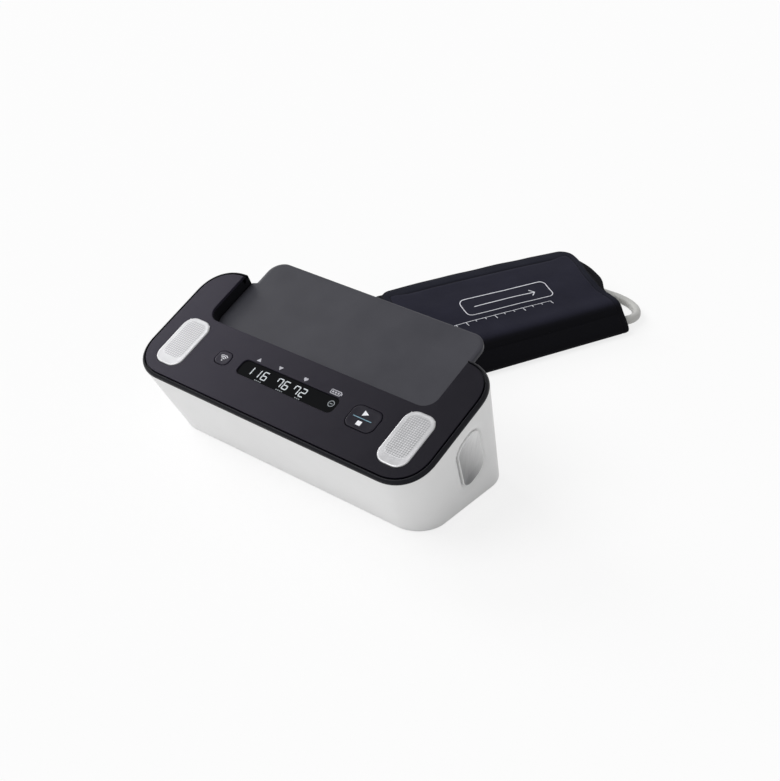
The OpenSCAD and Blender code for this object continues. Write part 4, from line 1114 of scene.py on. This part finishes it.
class Wrap:
    """The wound strip, with s along it from the inner end and a along the roll."""

    def __init__(self):
        self.stations = roll_stations()
        self.at = [0.0]
        for p, q in zip(self.stations, self.stations[1:]):
            self.at.append(self.at[-1] + math.hypot(q[0] - p[0], q[1] - p[1]))
        self.length = self.at[-1]
        self.seam = self.length - FLAP_LEN - SEAM_BELOW_FLAP

    def middle(self, s):
        s = min(max(s, 0.0), self.length)
        high = min(bisect.bisect_right(self.at, s), len(self.at) - 1)
        t = (s - self.at[high - 1]) / (self.at[high] - self.at[high - 1])
        return [p * (1 - t) + q * t for p, q in zip(*self.stations[high - 1:high + 1])]

    def edge(self, s, a):
        """Distance to the nearest edge of the strip, whose outer end has round corners.

        Beside the long edges it counts double, so that their hems are half as wide.
        """
        across = min(-a, CUFF_LEN + a)
        to_end = self.length - s
        d = min(across, s, to_end)
        if across < FLAP_CORNER_R and to_end < FLAP_CORNER_R:
            d = FLAP_CORNER_R - math.hypot(FLAP_CORNER_R - across, FLAP_CORNER_R - to_end)
        d *= 1 + smooth((min(s, to_end) - across) / 20 + 0.5)
        seam = abs(s - self.seam)
        return HEM + seam if seam < 2 and d > HEM + seam else d

    def point(self, s, a, offset):
        w, z, out_w, out_z = self.middle(s)
        from_end = self.length - s
        slip = UNDER_SLIP * smooth((from_end - 196) / 30) * (1 - smooth((from_end - 232) / 18))
        slip -= FLAP_SLIP * smooth((from_end - 10) / 28) * (1 - smooth((from_end - 48) / 28))
        return cuff(a + slip, *settle(w + out_w * offset, z + out_z * offset, a))


def settle(w, z, a):
    """The roll as it lies: leaning back over a flat foot, wider at its far end, a little uneven."""
    along = 1 - (2 * a / CUFF_LEN + 1) ** 2
    front = 1 - smooth((w - 5) / 36)
    back = smooth((w - 35) / 45)
    z *= 0.87 + 0.09 * smooth((w - 12) / 44)
    lean = -2.4 + 12.0 * smooth(z / 15)
    w += front * (lean + 4.2 * a / CUFF_LEN) + back * (1.5 + 2.5 * along)
    z -= 1.0 * back * a / CUFF_LEN
    uneven = noise.noise(Vector((w / 26, a / 34, 0.7)))
    uneven += 0.5 * noise.noise(Vector((w / 11, a / 15, 3.1)))
    z += 0.45 * uneven * smooth(z / 14)
    return w, z


def spaced(marks, step):
    """Values through the marks, filled in so that no step is longer than asked."""
    values = [marks[0]]
    for low, high in zip(marks, marks[1:]):
        count = max(1, math.ceil((high - low) / step))
        values += [low + (high - low) * (i + 1) / count for i in range(count)]
    return values


def wrap_half_thickness(d):
    """Half of the wrap's thickness at a distance from its edge."""
    half = WRAP_T / 2
    taper = 0.45 + 0.55 * math.sqrt(min(max(d, 0.0) / 1.2, 1.0))
    tape = 0.1 * smooth((TAPE + 0.8 - d) / 0.6)
    stitch = 0.28 * math.exp(-((d - TAPE - 0.2) / 0.45) ** 2)
    hem = 0.42 * math.exp(-((d - HEM) / 0.7) ** 2)
    return half * taper - tape - stitch - hem


def make_wrap(wrap):
    near_edge = [0, 0.35, 0.8, 1.3, 2.2, 2.8, 3.2, 3.7, 4.5, 6.5, 7.9, 8.5, 9.0, 9.5, 10.1, 11.5, 13.0]
    near_side = [d / 2 for d in near_edge]
    near_seam = [wrap.seam + d for d in (-2, -1.2, -0.6, -0.3, 0, 0.3, 0.6, 1.2, 2)]
    a_lines = spaced([-CUFF_LEN + d for d in near_side] + [-d for d in reversed(near_side)], 4.0)
    s_marks = near_edge[:9] + near_seam + [wrap.length - d for d in reversed(near_edge)]
    s_lines = spaced(s_marks, 1.9)
    bm = bmesh.new()
    uv = bm.loops.layers.uv.new("weave")
    edge_mm = bm.verts.layers.float.new("edge_mm")
    plain = bm.verts.layers.float.new("plain")
    place = {}
    sides = []
    for sign in (1, -1):
        grid = []
        for s in s_lines:
            to_end = wrap.length - s
            past = max(FLAP_CORNER_R - to_end, 0)
            corner = FLAP_CORNER_R - math.sqrt(max(FLAP_CORNER_R ** 2 - past ** 2, 0))
            shrink = (CUFF_LEN - 2 * corner) / CUFF_LEN
            row = []
            for a in a_lines:
                a_here = (a + CUFF_LEN / 2) * shrink - CUFF_LEN / 2
                d = wrap.edge(s, a_here)
                vert = bm.verts.new(wrap.point(s, a_here, sign * wrap_half_thickness(d)))
                vert[edge_mm] = d
                # painted shade: weight 1 from a little below the flap onwards, where the roll is
                # coloured darker
                vert[plain] = smooth((to_end - FLAP_LEN - PAINTED_SHADE_BELOW_FLAP) / 5 + 0.5)
                place[vert] = (s * MM, a_here * MM)
                row.append(vert)
            grid.append(row)
        sides.append(grid)
    skin_sheet(bm, sides)
    for face in bm.faces:
        for loop in face.loops:
            loop[uv].uv = place[loop.vert]
    piece = add_piece("cuff_cloth", bm, "cloth", 70)
    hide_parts("cuff_wrap", "cuff_bladder")


def make_hook_patch(wrap):
    """The hook cloth on the underside of the flap."""
    margin = 14.0
    flap_start = wrap.length - FLAP_LEN
    low_s, high_s = flap_start + 18, flap_start + 58
    bm = bmesh.new()
    s_lines = [low_s + (high_s - low_s) * i / 20 for i in range(21)]
    a_lines = [-CUFF_LEN + margin + (CUFF_LEN - 2 * margin) * j / 40 for j in range(41)]
    faces = [
        [[bm.verts.new(wrap.point(s, a, offset)) for a in a_lines] for s in s_lines]
        for offset in (-WRAP_T / 2 - 0.22, -WRAP_T / 2 + 0.1)
    ]
    skin_sheet(bm, faces)
    piece = add_piece("hook_cloth", bm, "hook")
    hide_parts("hook_patch")


def cloth_ink(wrap, bm, points, width, closed=False):
    """A printed line on the flap through (distance from the flap's end, a) points."""
    dense = []
    for (s0, a0), (s1, a1) in zip(points, points[1:] + points[:1] if closed else points[1:]):
        count = max(1, int(math.hypot(s1 - s0, a1 - a0) / 2.0))
        dense += [(s0 + (s1 - s0) * i / count, a0 + (a1 - a0) * i / count) for i in range(count)]
    if not closed:
        dense.append(points[-1])
    rows = []
    for (s, a), (ns, na) in zip(dense, half_widths(dense, width, closed)):
        row = []
        for side, rise in ((1, 0.02), (-1, 0.02), (-1, 0.08), (1, 0.08)):
            s_here = wrap.length - s - side * ns
            row.append(bm.verts.new(wrap.point(s_here, a + side * na, WRAP_T / 2 + rise)))
        rows.append(row)
    skin(bm, rows + rows[:1] if closed else rows)
    if not closed:
        bm.faces.new(rows[0])
        bm.faces.new(rows[-1])


def make_cloth_print(wrap):
    """A simple wrap sign: a rounded frame, an arrow along it and a row of ticks."""
    bm = bmesh.new()
    frame_points = [(s + 37, a - 66) for a, s in rounded(64, 17, 4, (0, 0), 5)]
    cloth_ink(wrap, bm, frame_points, 0.6, closed=True)
    arrow_a = (-90.0, -45.0)
    cloth_ink(wrap, bm, [(37, arrow_a[0]), (37, arrow_a[1])], 0.6)
    cloth_ink(wrap, bm, [(34, arrow_a[1] - 3), (37, arrow_a[1]), (40, arrow_a[1] - 3)], 0.6)
    for i in range(13):
        long_tick = i % 3 == 0
        a = -124 + 7 * i
        cloth_ink(wrap, bm, [(52, a), (56.5 if long_tick else 54.2, a)], 0.45)
    cloth_ink(wrap, bm, [(52, -124), (52, -40)], 0.45)
    add_piece("cuff_print", bm, "cloth_print")


# ---------- Hose ----------

def hose_points():
    points = [cuff(*p) for p in HOSE_ROUTE]
    mid = cuff(COIL_AT[0], COIL_AT[1], 0) / MM

    def coil_z(q):
        climbed = sum(smooth((q - start) / CLIMB_SWEEP) for start in COIL_CLIMBS)
        return COIL_LOW_Z + COIL_RISE * climbed

    for i in range(COIL_RINGS + 1):
        q = COIL_START + COIL_SWEEP * i / COIL_RINGS
        t = math.radians(q)
        points.append(upright(mid.x + COIL_R * math.cos(t), mid.y + COIL_R * math.sin(t), coil_z(q)))
    t = math.radians(COIL_START + COIL_SWEEP)
    leave = points[-1] / MM + END_RUN * Vector((-math.sin(t), math.cos(t), 0))
    reach = (leave.y - rear_wall(0, JACK_Z, 0).y / MM) / math.cos(REAR_LEAN)
    elbow_z = JACK_Z + reach * math.sin(REAR_LEAN)
    barb_x = -JACK_X - BARB_LEN
    points += [upright(*leave), upright(leave.x + ELBOW_RUN, leave.y, leave.z)]
    return points + [upright(x, leave.y, elbow_z) for x in (barb_x - ELBOW_RUN, barb_x)]


def make_hose():
    data = bpy.data.curves.new("air_hose", "CURVE")
    data.dimensions = "3D"
    data.bevel_depth = HOSE_R * MM
    data.bevel_resolution = 6
    data.resolution_u = 8
    data.use_fill_caps = True
    points = hose_points()
    spline = data.splines.new("BEZIER")
    spline.bezier_points.add(len(points) - 1)
    for knot, point in zip(spline.bezier_points, points):
        knot.co = point
        knot.handle_left_type = knot.handle_right_type = "AUTO"
    hose = link(bpy.data.objects.new("air_hose", data))
    data.materials.append(FINISHES["hose"])
    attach(hose, "monitor")
    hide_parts("hose_cuff_side", "hose_coil", "hose_plug_side")


def main():
    add_camera()
    add_world()
    add_floor()
    add_lamp("key", (-0.55, -0.55, 1.0), 1.55, 40)
    add_lamp("rim", (-0.86, 0.1, 0.5), 0.9, 25)
    make_hose()
    dress_nodes()
    make_case()
    make_band()
    make_panel()
    make_tray()
    make_button("start_stop_cap", "start_stop_button", "start_stop", START_SIZE, START_AT)
    make_button("pairing_cap", "pairing_button", "pairing", PAIR_SIZE, PAIR_AT)
    for side, sign in (("left", -1), ("right", 1)):
        make_top_pad("top_pad_" + side, "electrode_top_" + side, sign)
    for side, sign in (("left", -1), ("right", 1)):
        make_side_pad("side_pad_" + side, "electrode_side_" + side, sign)
    make_display()
    make_signs()
    wrap = Wrap()
    make_wrap(wrap)
    make_hook_patch(wrap)
    make_cloth_print(wrap)


main()
